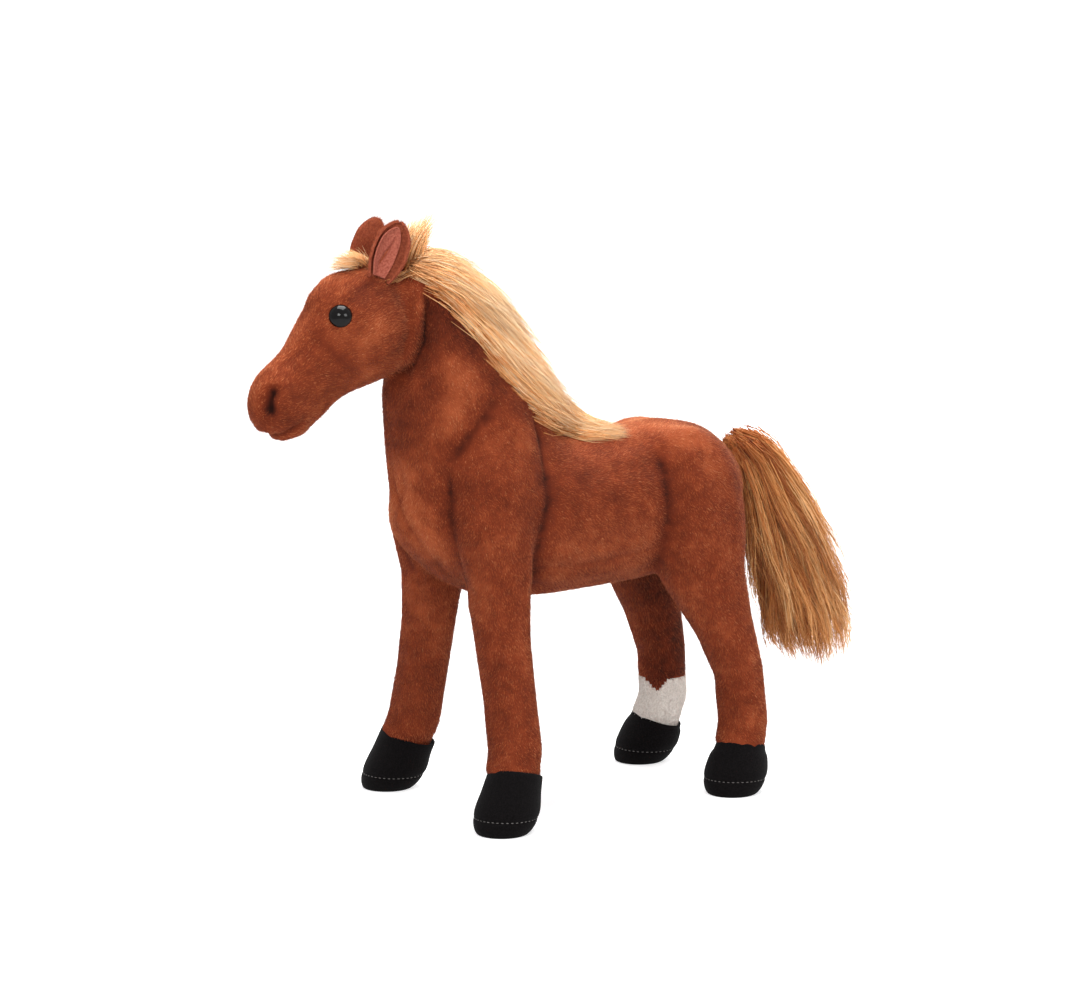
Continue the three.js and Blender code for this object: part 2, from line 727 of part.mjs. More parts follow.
// Closed sheet between two grids of points, front and back
function sheetSolid(front, back) {
  const rows = front.length;
  const columns = front[0].length;
  const points = [...front.flat(), ...back.flat()];
  const shift = rows * columns;
  const at = (r, c, far) => r * columns + c + (far ? shift : 0);
  const faces = [];
  const quad = (a, b, c, d) => faces.push([a, b, c], [a, c, d]);
  for (let r = 0; r + 1 < rows; r += 1) {
    for (let c = 0; c + 1 < columns; c += 1) {
      quad(at(r, c), at(r, c + 1), at(r + 1, c + 1), at(r + 1, c));
      quad(at(r, c, true), at(r + 1, c, true), at(r + 1, c + 1, true), at(r, c + 1, true));
    }
    quad(at(r, 0), at(r + 1, 0), at(r + 1, 0, true), at(r, 0, true));
    const end = columns - 1;
    quad(at(r, end), at(r, end, true), at(r + 1, end, true), at(r + 1, end));
  }
  for (let c = 0; c + 1 < columns; c += 1) {
    quad(at(0, c), at(0, c, true), at(0, c + 1, true), at(0, c + 1));
    const end = rows - 1;
    quad(at(end, c), at(end, c + 1), at(end, c + 1, true), at(end, c, true));
  }
  return manifoldOf(points, faces);
}

// Grid of points on the cupped leaf: x across, y the way it faces, z along it.
// The base row slants with the head under it, and the slant fades towards the tip.
function leafGrid(start, end, widthShare, offset, slant) {
  const { steps, sides } = earFineness;
  const grid = [];
  for (let i = 0; i <= steps; i += 1) {
    const s = THREE.MathUtils.lerp(start, end, i / steps);
    const row = [];
    for (let j = 0; j <= sides; j += 1) {
      const v = widthShare * ((2 * j) / sides - 1);
      const x = (v * earWidth * valueAt(earLeafShares, 'width', s)) / 2;
      const y = offset + earCup * valueAt(earLeafShares, 'cup', s) * v * v;
      row.push(new THREE.Vector3(x, y, s * earLength + (1 - s) * slant * x));
    }
    grid.push(row);
  }
  return grid;
}

// Rolled seam at the base of an ear, along x
function beadGeometry() {
  const bead = new THREE.CylinderGeometry(earBead / 2, earBead / 2, earBaseWidth, earBeadSideCount);
  return bead.rotateZ(Math.PI / 2);
}

function earSolid(slant) {
  const front = leafGrid(0, 1, 1, earCloth / 2, slant);
  const leaf = sheetSolid(front, leafGrid(0, 1, 1, -earCloth / 2, slant));
  return leaf.add(solidOf(beadGeometry().rotateY(-Math.atan(slant))));
}

// Lining, laid into the cup and trimmed so that it follows the leaf behind it
function liningSolid(slant) {
  const back = earCloth / 2 + sewnGap;
  const { start, end, width } = liningShares;
  const sheet = sheetSolid(
    leafGrid(start, end, width, back + liningCloth, slant),
    leafGrid(start, end, width, -earCloth / 2, slant),
  );
  const leaf = sheetSolid(leafGrid(0, 1, 1, back, slant), leafGrid(0, 1, 1, -earCloth, slant));
  return cut(sheet, leaf);
}

// Place of an ear: its seam lies along the head, its opening faces ahead and outwards;
// x runs along the seam, about which the ear folds
function earFrame(side) {
  const turn = side < 0 ? 0.5 - earPlaceShares.turn : earPlaceShares.turn;
  const angle = turn * 2 * Math.PI;
  const normal = skinNormal(head, earPlaceShares.along, angle);
  const place = skinPoint(head, earPlaceShares.along, angle)
    .addScaledVector(normal, earBead / 2 + sewnGap);
  const length = new THREE.Vector3(Math.sin(earLean), side * Math.sin(earSplay), 1).normalize();
  const facing = new THREE.Vector3(-Math.cos(earTurn), side * Math.sin(earTurn), 0);
  facing.addScaledVector(length, -facing.dot(length)).normalize();
  const width = new THREE.Vector3().crossVectors(facing, length);
  const seam = new THREE.Vector3().crossVectors(facing, normal).normalize();
  const slant = seam.dot(length) / seam.dot(width);
  const rise = new THREE.Vector3().crossVectors(seam, facing);
  const matrix = new THREE.Matrix4().makeBasis(seam, facing, rise).setPosition(place);
  return { matrix, slant, place, normal };
}

// The same place, brought down until the rolled seam lies one gap off the head's cloth
function seatedEar(side) {
  const { matrix, slant, place, normal } = earFrame(side);
  const bead = solidOf(beadGeometry().applyMatrix4(matrix));
  const gap = bead.minGap(loft(head), earLength);
  place.addScaledVector(normal, sewnGap - gap);
  return { matrix: matrix.setPosition(place), slant };
}

function addEars() {
  for (const side of [-1, 1]) {
    const { matrix, slant } = seatedEar(side);
    const pivot = new THREE.Group();
    pivot.name = `ear_${sideName(side)}_pivot`;
    pivot.applyMatrix4(matrix);
    horse.add(pivot);
    const leaf = new THREE.Group();
    leaf.rotation.y = Math.atan(slant);
    pivot.add(leaf);
    addMesh(`ear_${sideName(side)}`, earSolid(slant), darkPlush, leaf);
    addMesh(`ear_lining_${sideName(side)}`, liningSolid(slant), earLining, leaf);
  }
}

// Point on the top line of a form, lifted off it
function overForm(form, along, angle, lift) {
  return skinPoint(form, along, angle).addScaledVector(skinNormal(form, along, angle), lift);
}

const top = Math.PI / 2;
const crest = maneTurnShare * 2 * Math.PI;

const mane = {
  spine: new THREE.CatmullRomCurve3([
    overForm(head, manePollShares.along, top, manePollShares.lift * maneLift),
    ...maneCrestShares.map((t) => overForm(neck, t, crest, maneLift)),
    ...maneWithersShares.map((r) => overForm(body, r.along, top, r.lift * maneLift)),
  ]),
  halfWidth: (t) => (maneWidth / 2) * valueAt(maneShares, 'width', t),
  halfDepth: (t) => (maneDepth / 2) * valueAt(maneShares, 'depth', t),
  ...maneRoundShares,
  ...maneFineness,
};

const forelock = {
  spine: new THREE.CatmullRomCurve3(
    forelockShares.map((t) => overForm(head, t, top, forelockLift)),
  ),
  halfWidth: (t) => (forelockWidth / 2) * valueAt(forelockRows, 'width', t),
  halfDepth: (t) => (forelockDepth / 2) * valueAt(forelockRows, 'depth', t),
  ...forelockRoundShares,
  ...forelockFineness,
};

function addMane() {
  addMesh('mane', cut(loft(mane), bodyLetOut, neckLetOut, headLetOut), paleFur);
  addMesh('forelock', cut(loft(forelock), headLetOut, neckLetOut, loft(mane, -sewnGap)), paleFur);
}

// Tail: it starts past the knot, so that it can swing round it
const knotPlace = overForm(body, tailPlaceShare, top, knotDiameter / 2 + sewnGap);

const tail = {
  spine: new THREE.CatmullRomCurve3(tailSpineShares.map((r) => new THREE.Vector3(
    knotPlace.x + r.back * tailReach,
    0,
    knotPlace.z - r.down * tailDrop,
  ))),
  halfWidth: (t) => (tailWidth / 2) * valueAt(tailShares, 'width', t),
  halfDepth: (t) => (tailDepth / 2) * valueAt(tailShares, 'depth', t),
  ...tailRoundShares,
  ...tailFineness,
};

function addTail() {
  const pivot = new THREE.Group();
  pivot.name = 'tail_pivot';
  pivot.position.copy(knotPlace);
  horse.add(pivot);
  const knot = new THREE.SphereGeometry(knotDiameter / 2, knotFineness.sides, knotFineness.rows);
  addMesh('tail_knot', solidOf(knot), goldFur, pivot);
  const roomRadius = knotDiameter / 2 + 2 * sewnGap;
  const room = new THREE.SphereGeometry(roomRadius, knotFineness.sides, knotFineness.rows);
  room.translate(knotPlace.x, knotPlace.y, knotPlace.z);
  addMesh('tail', cut(loft(tail), solidOf(room), bodyLetOut), goldFur);
}

addBody();
addNeck();
addHead();
legForms.forEach(addLeg);
addEars();
addMane();
addTail();

// The origin goes under the middle of the toy
const extent = new THREE.Box3().setFromObject(horse, true);
horse.position.x = -(extent.min.x + extent.max.x) / 2;

export default horse;
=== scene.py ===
# %% [markdown]
# # A stuffed horse with a pile coat
# The real toy is cut from short-pile plush, sewn into a skin and stuffed with fibre.
# Its mane and tail are long-pile fur, its hooves black cloth and its eyes glossy buttons.
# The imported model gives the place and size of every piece; here each gets its real surface.

# %% Load the frame
import json
import math

import bpy
import bmesh
import numpy as np
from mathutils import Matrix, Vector, noise
from mathutils.bvhtree import BVHTree
from mathutils.kdtree import KDTree


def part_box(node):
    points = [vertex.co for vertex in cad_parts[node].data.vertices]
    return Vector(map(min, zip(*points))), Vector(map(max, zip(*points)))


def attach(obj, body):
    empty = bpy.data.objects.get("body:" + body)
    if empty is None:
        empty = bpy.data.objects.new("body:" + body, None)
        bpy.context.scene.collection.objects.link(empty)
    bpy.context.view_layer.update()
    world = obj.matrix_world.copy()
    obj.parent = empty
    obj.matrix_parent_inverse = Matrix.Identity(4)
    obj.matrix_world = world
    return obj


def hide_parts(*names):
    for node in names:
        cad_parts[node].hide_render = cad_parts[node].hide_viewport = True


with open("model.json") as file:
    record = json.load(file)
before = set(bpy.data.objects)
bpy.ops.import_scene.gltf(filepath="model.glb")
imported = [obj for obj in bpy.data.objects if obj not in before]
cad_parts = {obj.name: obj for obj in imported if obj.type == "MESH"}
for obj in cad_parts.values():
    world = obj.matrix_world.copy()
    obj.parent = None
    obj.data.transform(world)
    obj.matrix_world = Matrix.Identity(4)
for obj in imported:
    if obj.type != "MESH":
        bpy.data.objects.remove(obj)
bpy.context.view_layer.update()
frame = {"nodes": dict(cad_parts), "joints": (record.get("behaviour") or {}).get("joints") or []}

scene = bpy.context.scene
nodes = frame["nodes"]
MM = 0.001
SEED = 7
rng = np.random.default_rng(SEED)
noise.seed_set(SEED)  # without a seed, Blender's noise starts from the clock

# %% [markdown]
# ## Camera
# A long lens far away gives the flat perspective of a product photograph. The place was found
# by matching the outline of the horse, so it stays fixed while the pieces are made.

# %% Camera at the photograph's angle
CAMERA_AZIMUTH = -31.0
CAMERA_ELEVATION = 9.0
CAMERA_DISTANCE = 2.1
CAMERA_LENS = 130.9
CAMERA_TARGET = Vector((-15.69, 0.0, 161.7)) * MM

turn, tilt = math.radians(CAMERA_AZIMUTH), math.radians(CAMERA_ELEVATION)
camera_back = Vector((
    math.sin(turn) * math.cos(tilt), -math.cos(turn) * math.cos(tilt), math.sin(tilt),
))


def new_object(name, data):
    obj = bpy.data.objects.new(name, data)
    scene.collection.objects.link(obj)
    return obj


def aim(obj, place, way):
    """Put a camera or a lamp at a place, looking along a way."""
    obj.location = place
    obj.rotation_mode = "QUATERNION"
    obj.rotation_quaternion = way.to_track_quat("-Z", "Y")


camera = new_object("camera", bpy.data.cameras.new("camera"))
camera.data.lens = CAMERA_LENS
camera.data.clip_end = 100
aim(camera, CAMERA_TARGET + camera_back * CAMERA_DISTANCE, -camera_back)
scene.camera = camera
print("camera at", [round(v, 3) for v in camera.location])

# %% [markdown]
# ## Helpers for meshes
# Blender's operators act on what is selected, so every helper first deselects everything.
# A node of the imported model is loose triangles, so a copy is merged before it is used.


# %% Select, copy and join
def only(obj):
    bpy.ops.object.select_all(action="DESELECT")
    obj.select_set(True)
    bpy.context.view_layer.objects.active = obj
    return obj


def copies_joined(names, name):
    """One new object with the merged triangles of several nodes."""
    bm = bmesh.new()
    for node in names:
        bm.from_mesh(nodes[node].data)
    bmesh.ops.remove_doubles(bm, verts=bm.verts, dist=0.002 * MM)
    mesh = bpy.data.meshes.new(name)
    bm.to_mesh(mesh)
    bm.free()
    mesh.materials.clear()
    return new_object(name, mesh)


def smooth(obj):
    only(obj)
    bpy.ops.object.shade_smooth()
    return obj


def apply_modifier(obj, kind, **settings):
    modifier = only(obj).modifiers.new(kind.lower(), kind)
    for key, value in settings.items():
        setattr(modifier, key, value)
    bpy.ops.object.modifier_apply(modifier=modifier.name)


def read(rows, key, columns, kind=float):
    """A row of numbers for each vertex, edge or face."""
    flat = np.empty(len(rows) * columns, dtype=kind)
    rows.foreach_get(key, flat)
    return flat.reshape(-1, columns)


def points_of(mesh):
    return read(mesh.vertices, "co", 3)


def normals_of(mesh):
    return read(mesh.vertex_normals, "vector", 3)


def set_points(mesh, points):
    mesh.vertices.foreach_set("co", np.ascontiguousarray(points).ravel())
    mesh.update()


def neighbour_mean(values, edges):
    """Mean of each vertex's neighbours, for a row of values per vertex."""
    count = len(values)
    number = np.bincount(edges.ravel(), minlength=count).clip(1)
    columns = [
        np.bincount(edges[:, 0], values[edges[:, 1], k], count)
        + np.bincount(edges[:, 1], values[edges[:, 0], k], count)
        for k in range(values.shape[1])
    ]
    return np.stack(columns, axis=1) / number[:, None]


# %% [markdown]
# ## The stuffed skin
# Real plush stretches over the stuffing into one continuous, softly swelling surface with
# valleys along its seams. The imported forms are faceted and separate, so copies of them are
# fused with a voxel remesh and then faired. The fairing goes in and out by turns, which
# removes the facets and keeps most of the volume.

# %% Fuse the forms
SIDES = ("left", "right")
LEGS = [f"{pair}leg_{side}" for pair in ("fore", "hind") for side in SIDES]
FORMS = ["torso", "neck", "head", *LEGS]
VOXEL = 1.8 * MM

form_nodes = [f"{form}_{layer}" for form in FORMS for layer in ("skin", "stuffing")]
plush = copies_joined(form_nodes + ["sock_hind_right"], "plush")
apply_modifier(plush, "REMESH", mode="VOXEL", voxel_size=VOXEL, adaptivity=0)

print("fused forms:", len(plush.data.vertices), "points")

# %% Fair the surface
FAIR_ROUNDS = 140
FAIR_IN, FAIR_OUT = 0.5, -0.525


def skin_of(obj):
    return BVHTree.FromObject(obj, bpy.context.evaluated_depsgraph_get())


def depth_under(tree, points):
    """How far each point lies under the surface of a tree; negative above it."""
    depth = np.empty(len(points))
    for i, p in enumerate(points):
        near, out, _, _ = tree.find_nearest(p)
        depth[i] = (near - Vector(p)).dot(out)
    return depth


mesh = plush.data
faceted = skin_of(plush)
points, edges = points_of(mesh), read(mesh.edges, "vertices", 2, int)
for _ in range(FAIR_ROUNDS):
    for share in (FAIR_IN, FAIR_OUT):
        points += share * (neighbour_mean(points, edges) - points)
set_points(mesh, points)
print("faired:", FAIR_ROUNDS, "rounds over", len(points), "points")

# %% [markdown]
# ## Placing folds
# A seam or a fold is easiest to place on the photograph. A ray from the camera through a pixel
# hits the skin where that fold lies, and the other side of the horse gets its mirror image.

# %% From a pixel to a point on the skin
PHOTO_WIDTH, PHOTO_HEIGHT = 1080, 1002
SENSOR = 36.0

pixels_per_unit = CAMERA_LENS / SENSOR * PHOTO_WIDTH
camera_right = Vector((math.cos(turn), math.sin(turn), 0))
camera_up = camera_back.cross(camera_right)
skin_tree = skin_of(plush)


def ray_through(u, v):
    across = (u - PHOTO_WIDTH / 2) / pixels_per_unit
    down = (v - PHOTO_HEIGHT / 2) / pixels_per_unit
    return (camera_right * across - camera_up * down - camera_back).normalized()


def on_skin(u, v):
    return skin_tree.ray_cast(camera.location, ray_through(u, v))[0]


def on_plane(u, v, y):
    """The place behind a pixel on an upright plane along the horse, y millimetres to the side."""
    ray = ray_through(u, v)
    return camera.location + ray * ((y * MM - camera.location.y) / ray.y)


def line_on_skin(pixels, steps=12):
    """Points on the skin along a line of pixels, then the same points on the other side."""
    hits = []
    for (u0, v0), (u1, v1) in zip(pixels, pixels[1:]):
        for k in range(steps):
            share = k / steps
            hit = on_skin(u0 + (u1 - u0) * share, v0 + (v1 - v0) * share)
            if hit is not None:
                hits.append(hit)
    near = np.array([list(h) for h in hits])
    return np.concatenate([near, near * (1, -1, 1)])


def distance_to(points, line):
    """Distance of each point from the nearest point of a line, and that point's number."""
    tree = KDTree(len(line))
    for i, place in enumerate(line):
        tree.insert(place, i)
    tree.balance()
    found = [tree.find(p) for p in points]
    return np.array([f[2] for f in found]), np.array([f[1] for f in found])


# %% [markdown]
# ## Melting and stuffing
# Where the shoulders meet the neck the cloth runs over without a step, so the skin is melted
# there. Then the stuffing goes in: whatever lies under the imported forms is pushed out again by
# a smoothed amount, in two helpings.

# %% Melt the shoulders into the neck, then stuff the skin
MELTS = {
    "shoulder": (26, 320, [(388, 480), (410, 472), (430, 468), (470, 462), (520, 456), (548, 452)]),
    "chest": (14, 160, [(388, 497), (410, 497), (436, 496)]),
    "withers": (12, 60, [(560, 440), (585, 436)]),
    "croup": (14, 80, [(620, 428), (660, 424)]),
}
RUMP = [(103, 0, 187), (109, 0, 177), (113, 0, 166), (111, 0, 155), (107, 0, 144), (99, 0, 134)]
RUMP_WIDTH, RUMP_ROUNDS = 30, 260
SEAT_RISE, SEAT_WIDTH = 1.8, 8
HELPINGS, PUSH_ROUNDS = 2, 40


def bell(gap, width, power=2):
    """1 in the middle, falling smoothly to nothing with the distance; power 4 has a flat top."""
    return np.exp(-((gap / width) ** power))



melt_lines = [(width, rounds, line_on_skin(pixels)) for width, rounds, pixels in MELTS.values()]
melt_lines.append((RUMP_WIDTH, RUMP_ROUNDS, np.array(RUMP) * MM))
for width, rounds, line in melt_lines:
    gap, _ = distance_to(points, line)
    softness = 0.5 * bell(gap, width * MM)[:, None]
    for _ in range(rounds):
        points += softness * (neighbour_mean(points, edges) - points)
set_points(mesh, points)
for _ in range(HELPINGS):
    lost = depth_under(faceted, points).clip(0, None)[:, None]
    for _ in range(PUSH_ROUNDS):
        lost = neighbour_mean(lost, edges)
    points += normals_of(mesh) * lost
    set_points(mesh, points)
hinge = {joint["name"]: np.array(joint["pos_m"]) for joint in frame["joints"]}
gap = np.linalg.norm(points - hinge["tail_lift"], axis=1)
points += normals_of(mesh) * (SEAT_RISE * MM * bell(gap, SEAT_WIDTH * MM))[:, None]
set_points(mesh, points)
skin_tree = skin_of(plush)
print("melted:", list(MELTS), "and stuffed by up to", round(lost.max() / MM, 2), "mm more")

# %% [markdown]
# ## Seams, folds and dents
# A sewn seam is a thin groove at the bottom of a wide, shallow valley, because the stuffing
# pushes the cloth out on both sides of it. Each fold below has a depth and a width in
# millimetres, says at which ends it fades out, and follows a line of pixels. Shade is painted
# along each fold too, darker for deeper folds, and it later darkens and shortens the pile.

# %% The folds on the near side of the photograph
FOLDS = {
    "shoulder_rear": (
        2.4, 4.2, "start",
        [(530, 412), (538, 434), (545, 468), (549, 500), (543, 530), (537, 560), (532, 590)],
    ),
    "shoulder_front": (
        2.6, 5.2, "both", [(497, 396), (490, 410), (480, 424), (470, 437), (460, 450), (450, 468)],
    ),
    "foreleg_front": (
        2.2, 3.8, "start", [(451, 466), (449, 490), (450, 515), (453, 540), (459, 565), (466, 595)],
    ),
    "chest_panel": (
        1.5, 2.3, "both",
        [(390, 462), (395, 485), (401, 508), (410, 530), (422, 549), (440, 568), (462, 586)],
    ),
    "flank": (2.0, 4.6, "start", [(652, 448), (662, 465), (668, 490), (669, 515), (665, 540), (658, 566)]),
    "belly_panel": (0.6, 1.6, "both", [(540, 568), (570, 566), (600, 561), (640, 551), (655, 547)]),
    "face_panel": (0.8, 2.0, "both", [(268, 386), (281, 370), (296, 354), (311, 340), (326, 326)]),
    "brow": (1.2, 3.4, "both", [(378, 279), (370, 283), (360, 289), (351, 297), (345, 304)]),
    "cheek_bone": (
        1.6, 4.6, "both", [(312, 338), (321, 345), (332, 354), (343, 364), (354, 374), (364, 381)],
    ),
    "mouth": (2.6, 1.4, "end", [(261, 430), (270, 434), (282, 434), (296, 428), (306, 418)]),
}
SWELLS = {
    "shoulder": (3.2, 17, [(514, 418), (522, 445), (518, 475), (504, 505), (492, 535)]),
    "neck": (1.6, 13, [(462, 372), (474, 398)]),
    "neck_front": (-1.2, 10, [(389, 430), (391, 460)]),
    "chest": (1.4, 12, [(392, 482), (396, 505)]),
    "forehead": (2.0, 9, [(316, 294), (328, 281), (344, 272)]),
    "bridge": (-1.4, 8, [(284, 352), (295, 331), (304, 311)]),
    "nose_top": (1.2, 7, [(263, 370), (276, 358)]),
    "muzzle": (1.8, 15, [(252, 398), (258, 416), (270, 428)]),
    "jaw": (-1.4, 9, [(314, 421), (331, 403), (352, 389)]),
    "cheek": (1.6, 12, [(392, 330), (394, 352)]),
    "haunch": (1.2, 22, [(700, 470), (705, 510)]),
    "belly": (1.0, 12, [(560, 586), (600, 582), (650, 571)]),
}
VALLEY_SHARE, GROOVE_SHARE, SHOULDER_SHARE = 0.65, 0.35, 0.18
FADE_POINTS = 14


def fold_strength(count, fading):
    """1 along a fold, and a smooth rise from 0 at an end where it fades out."""
    step = np.arange(count)
    strength = np.ones(count)
    if fading in ("start", "both"):
        strength = np.minimum(strength, (step + 1) / FADE_POINTS)
    if fading in ("end", "both"):
        strength = np.minimum(strength, (count - step) / FADE_POINTS)
    return np.sin(strength.clip(0, 1) * math.pi / 2)


def near_line(pixels, width):
    """1 along a line of pixels and on the other side's mirror image, fading over a width."""
    return bell(distance_to(folded, line_on_skin(pixels))[0], width * MM)


folded, normals = points_of(mesh), normals_of(mesh)
lift, shade = np.zeros(len(folded)), np.zeros(len(folded))
for depth, width, fading, pixels in FOLDS.values():
    line = line_on_skin(pixels)
    strength = np.tile(fold_strength(len(line) // 2, fading), 2)
    gap, nearest = distance_to(folded, line)
    gap /= width * MM
    profile = VALLEY_SHARE * bell(gap, 2) + GROOVE_SHARE * bell(gap, 0.45)
    profile -= SHOULDER_SHARE * bell(gap - 3, 1.5)
    lift -= depth * MM * profile * strength[nearest]
    # Painted shade along the fold: a dark core in the groove and a softer band beside it.
    dark = 0.6 * bell(gap, 0.5) + 0.4 * bell(gap, 1.4)
    shade = np.maximum(shade, dark * strength[nearest] * min(depth / 2.4, 1))
for height, width, pixels in SWELLS.values():
    lift += height * MM * near_line(pixels, width)
print("folds:", len(FOLDS), "deepest", round(lift.min() / MM, 2), "mm; swells:", len(SWELLS))

# %% Eye sockets and nostrils
SOCKET_DEPTH, SOCKET_WIDTH = 0.8, 8.5
NOSTRIL_DEPTH, NOSTRIL_WIDTH, NOSTRIL_SHADE = 4.4, 2.6, 1.6
NOSTRIL_PIXELS = [(272, 392), (269, 400), (270, 411)]

eye_middle = {side: (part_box(f"eye_{side}")[0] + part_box(f"eye_{side}")[1]) / 2 for side in SIDES}
for side in SIDES:
    gap = np.linalg.norm(folded - np.array(eye_middle[side]), axis=1)
    lift -= SOCKET_DEPTH * MM * bell(gap, SOCKET_WIDTH * MM, 4)
nostril = near_line(NOSTRIL_PIXELS, NOSTRIL_WIDTH)
lift -= NOSTRIL_DEPTH * MM * nostril
# Painted shade in the nostril's dent; the pile is left off there further on.
shade = np.maximum(shade, NOSTRIL_SHADE * nostril)
print("eyes at", {side: [round(v / MM, 1) for v in place] for side, place in eye_middle.items()}, "mm")

# %% [markdown]
# ## One skin for each part of the body
# The horse is sewn from separate skins: torso, neck, head and four legs. Each point of the
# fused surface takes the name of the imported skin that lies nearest. A few rounds of averaging
# turn the ragged borders into smooth seams.

# %% Which skin a point belongs to
SKINS = [*FORMS, "sock"]
NAME_ROUNDS = 8

skin_node = {form: f"{form}_skin" for form in FORMS} | {"sock": "sock_hind_right"}
bm = bmesh.new()
owner = []
for number, form in enumerate(SKINS):
    bm.from_mesh(nodes[skin_node[form]].data)
    owner += [number] * (len(bm.faces) - len(owner))
packed_tree = BVHTree.FromBMesh(bm)
bm.free()
share_of_skin = np.zeros((len(folded), len(SKINS)))
share_of_skin[np.arange(len(folded)), [owner[packed_tree.find_nearest(p)[2]] for p in points]] = 1
for _ in range(NAME_ROUNDS):
    share_of_skin = (share_of_skin + neighbour_mean(share_of_skin, edges)) / 2

# The brown runs down into the sock in one tongue at the front.
SOCK_TOP, SOCK_TONGUE, TONGUE_WIDTH, TONGUE_SIDE = 50.0, 6.5, 5.0, -0.55
SHIN = np.array([86.63, 42.0, 0]) * MM

shin = folded - SHIN
across = shin @ np.array(camera_right) / MM
tongue = SOCK_TONGUE * bell(across - TONGUE_SIDE, TONGUE_WIDTH)
tongue = np.where(shin @ np.array(camera_back) > 0, tongue, 0)
sock_rows = (folded[:, 0] > 0.05) & (folded[:, 1] > 0) & (folded[:, 2] < 0.07)
share_of_skin[sock_rows] = 0
in_sock = sock_rows & (folded[:, 2] / MM < SOCK_TOP - tongue)
share_of_skin[sock_rows & ~in_sock, SKINS.index("hindleg_right")] = 1
share_of_skin[in_sock, SKINS.index("sock")] = 1
skin_number = share_of_skin.argmax(axis=1)
print("points per skin:", dict(zip(SKINS, np.bincount(skin_number, minlength=len(SKINS)).tolist())))

# %% The cheek stands over the neck, and the sock's seam is a shallow line
CHEEK_MIDDLE = (368, 335)
CHEEK_LINE = [(427, 292), (427, 308), (425, 325), (421, 345), (413, 362), (400, 373), (386, 380)]
CHEEK_SINK, CHEEK_FADE, CHEEK_ROUND = 6.0, 6.0, 1.5
CHEEK_ROLL, ROLL_BEFORE, ROLL_WIDTH = 1.5, 5, 3.4
SOCK_SEAM, SOCK_SEAM_WIDTH = 0.4, 1.2

line = line_on_skin(CHEEK_LINE)
middle = np.tile(on_skin(*CHEEK_MIDDLE), (len(line), 1))
middle[len(line) // 2:, 1] *= -1
gap, nearest = distance_to(folded, line)
gap /= MM
behind = ((folded - line[nearest]) * (line - middle)[nearest]).sum(axis=1) > 0
strength = np.tile(fold_strength(len(line) // 2, "both"), 2)[nearest]
sink = CHEEK_SINK * np.where(behind, bell(gap, CHEEK_FADE), bell(gap, CHEEK_ROUND))
roll = np.where(behind, 0, CHEEK_ROLL * bell(gap - ROLL_BEFORE, ROLL_WIDTH))
lift += (roll - sink) * strength * MM
# Painted shadow: the neck is darkened behind the cheek's rim, with a thin dark line along the rim.
dark = 0.55 * bell(gap, 1.6) + np.where(behind, 0.45 * bell(gap, CHEEK_FADE), 0)
shade = np.maximum(shade, dark * strength)

ends = skin_number[edges]
sock_edge = edges[(ends == SKINS.index("sock")).sum(axis=1) == 1]
gap, _ = distance_to(folded, folded[sock_edge].mean(axis=1))
lift -= SOCK_SEAM * MM * bell(gap / MM, SOCK_SEAM_WIDTH)

# %% Press the folds in
PILE_ROOM = 0.1

folded += normals * (lift - PILE_ROOM * MM)[:, None]
set_points(mesh, folded)
normals = normals_of(mesh)
print("pressed in: from", round(lift.min() / MM, 2), "to", round(lift.max() / MM, 2), "mm")

# %% [markdown]
# ## The nap
# Short pile leans one way, like grass in the wind, and light catches it differently wherever
# it was brushed. So each skin gets a direction, the directions are blended across the seams,
# and a smooth random field ruffles them. Lighter and darker places are partly brushed nap and
# partly painted light and shade: lighter where the lamps fall on the back, chest, neck and
# forehead, darker under the mane and in hollows. Each has an amount of tone, a width in
# millimetres and a line of pixels.

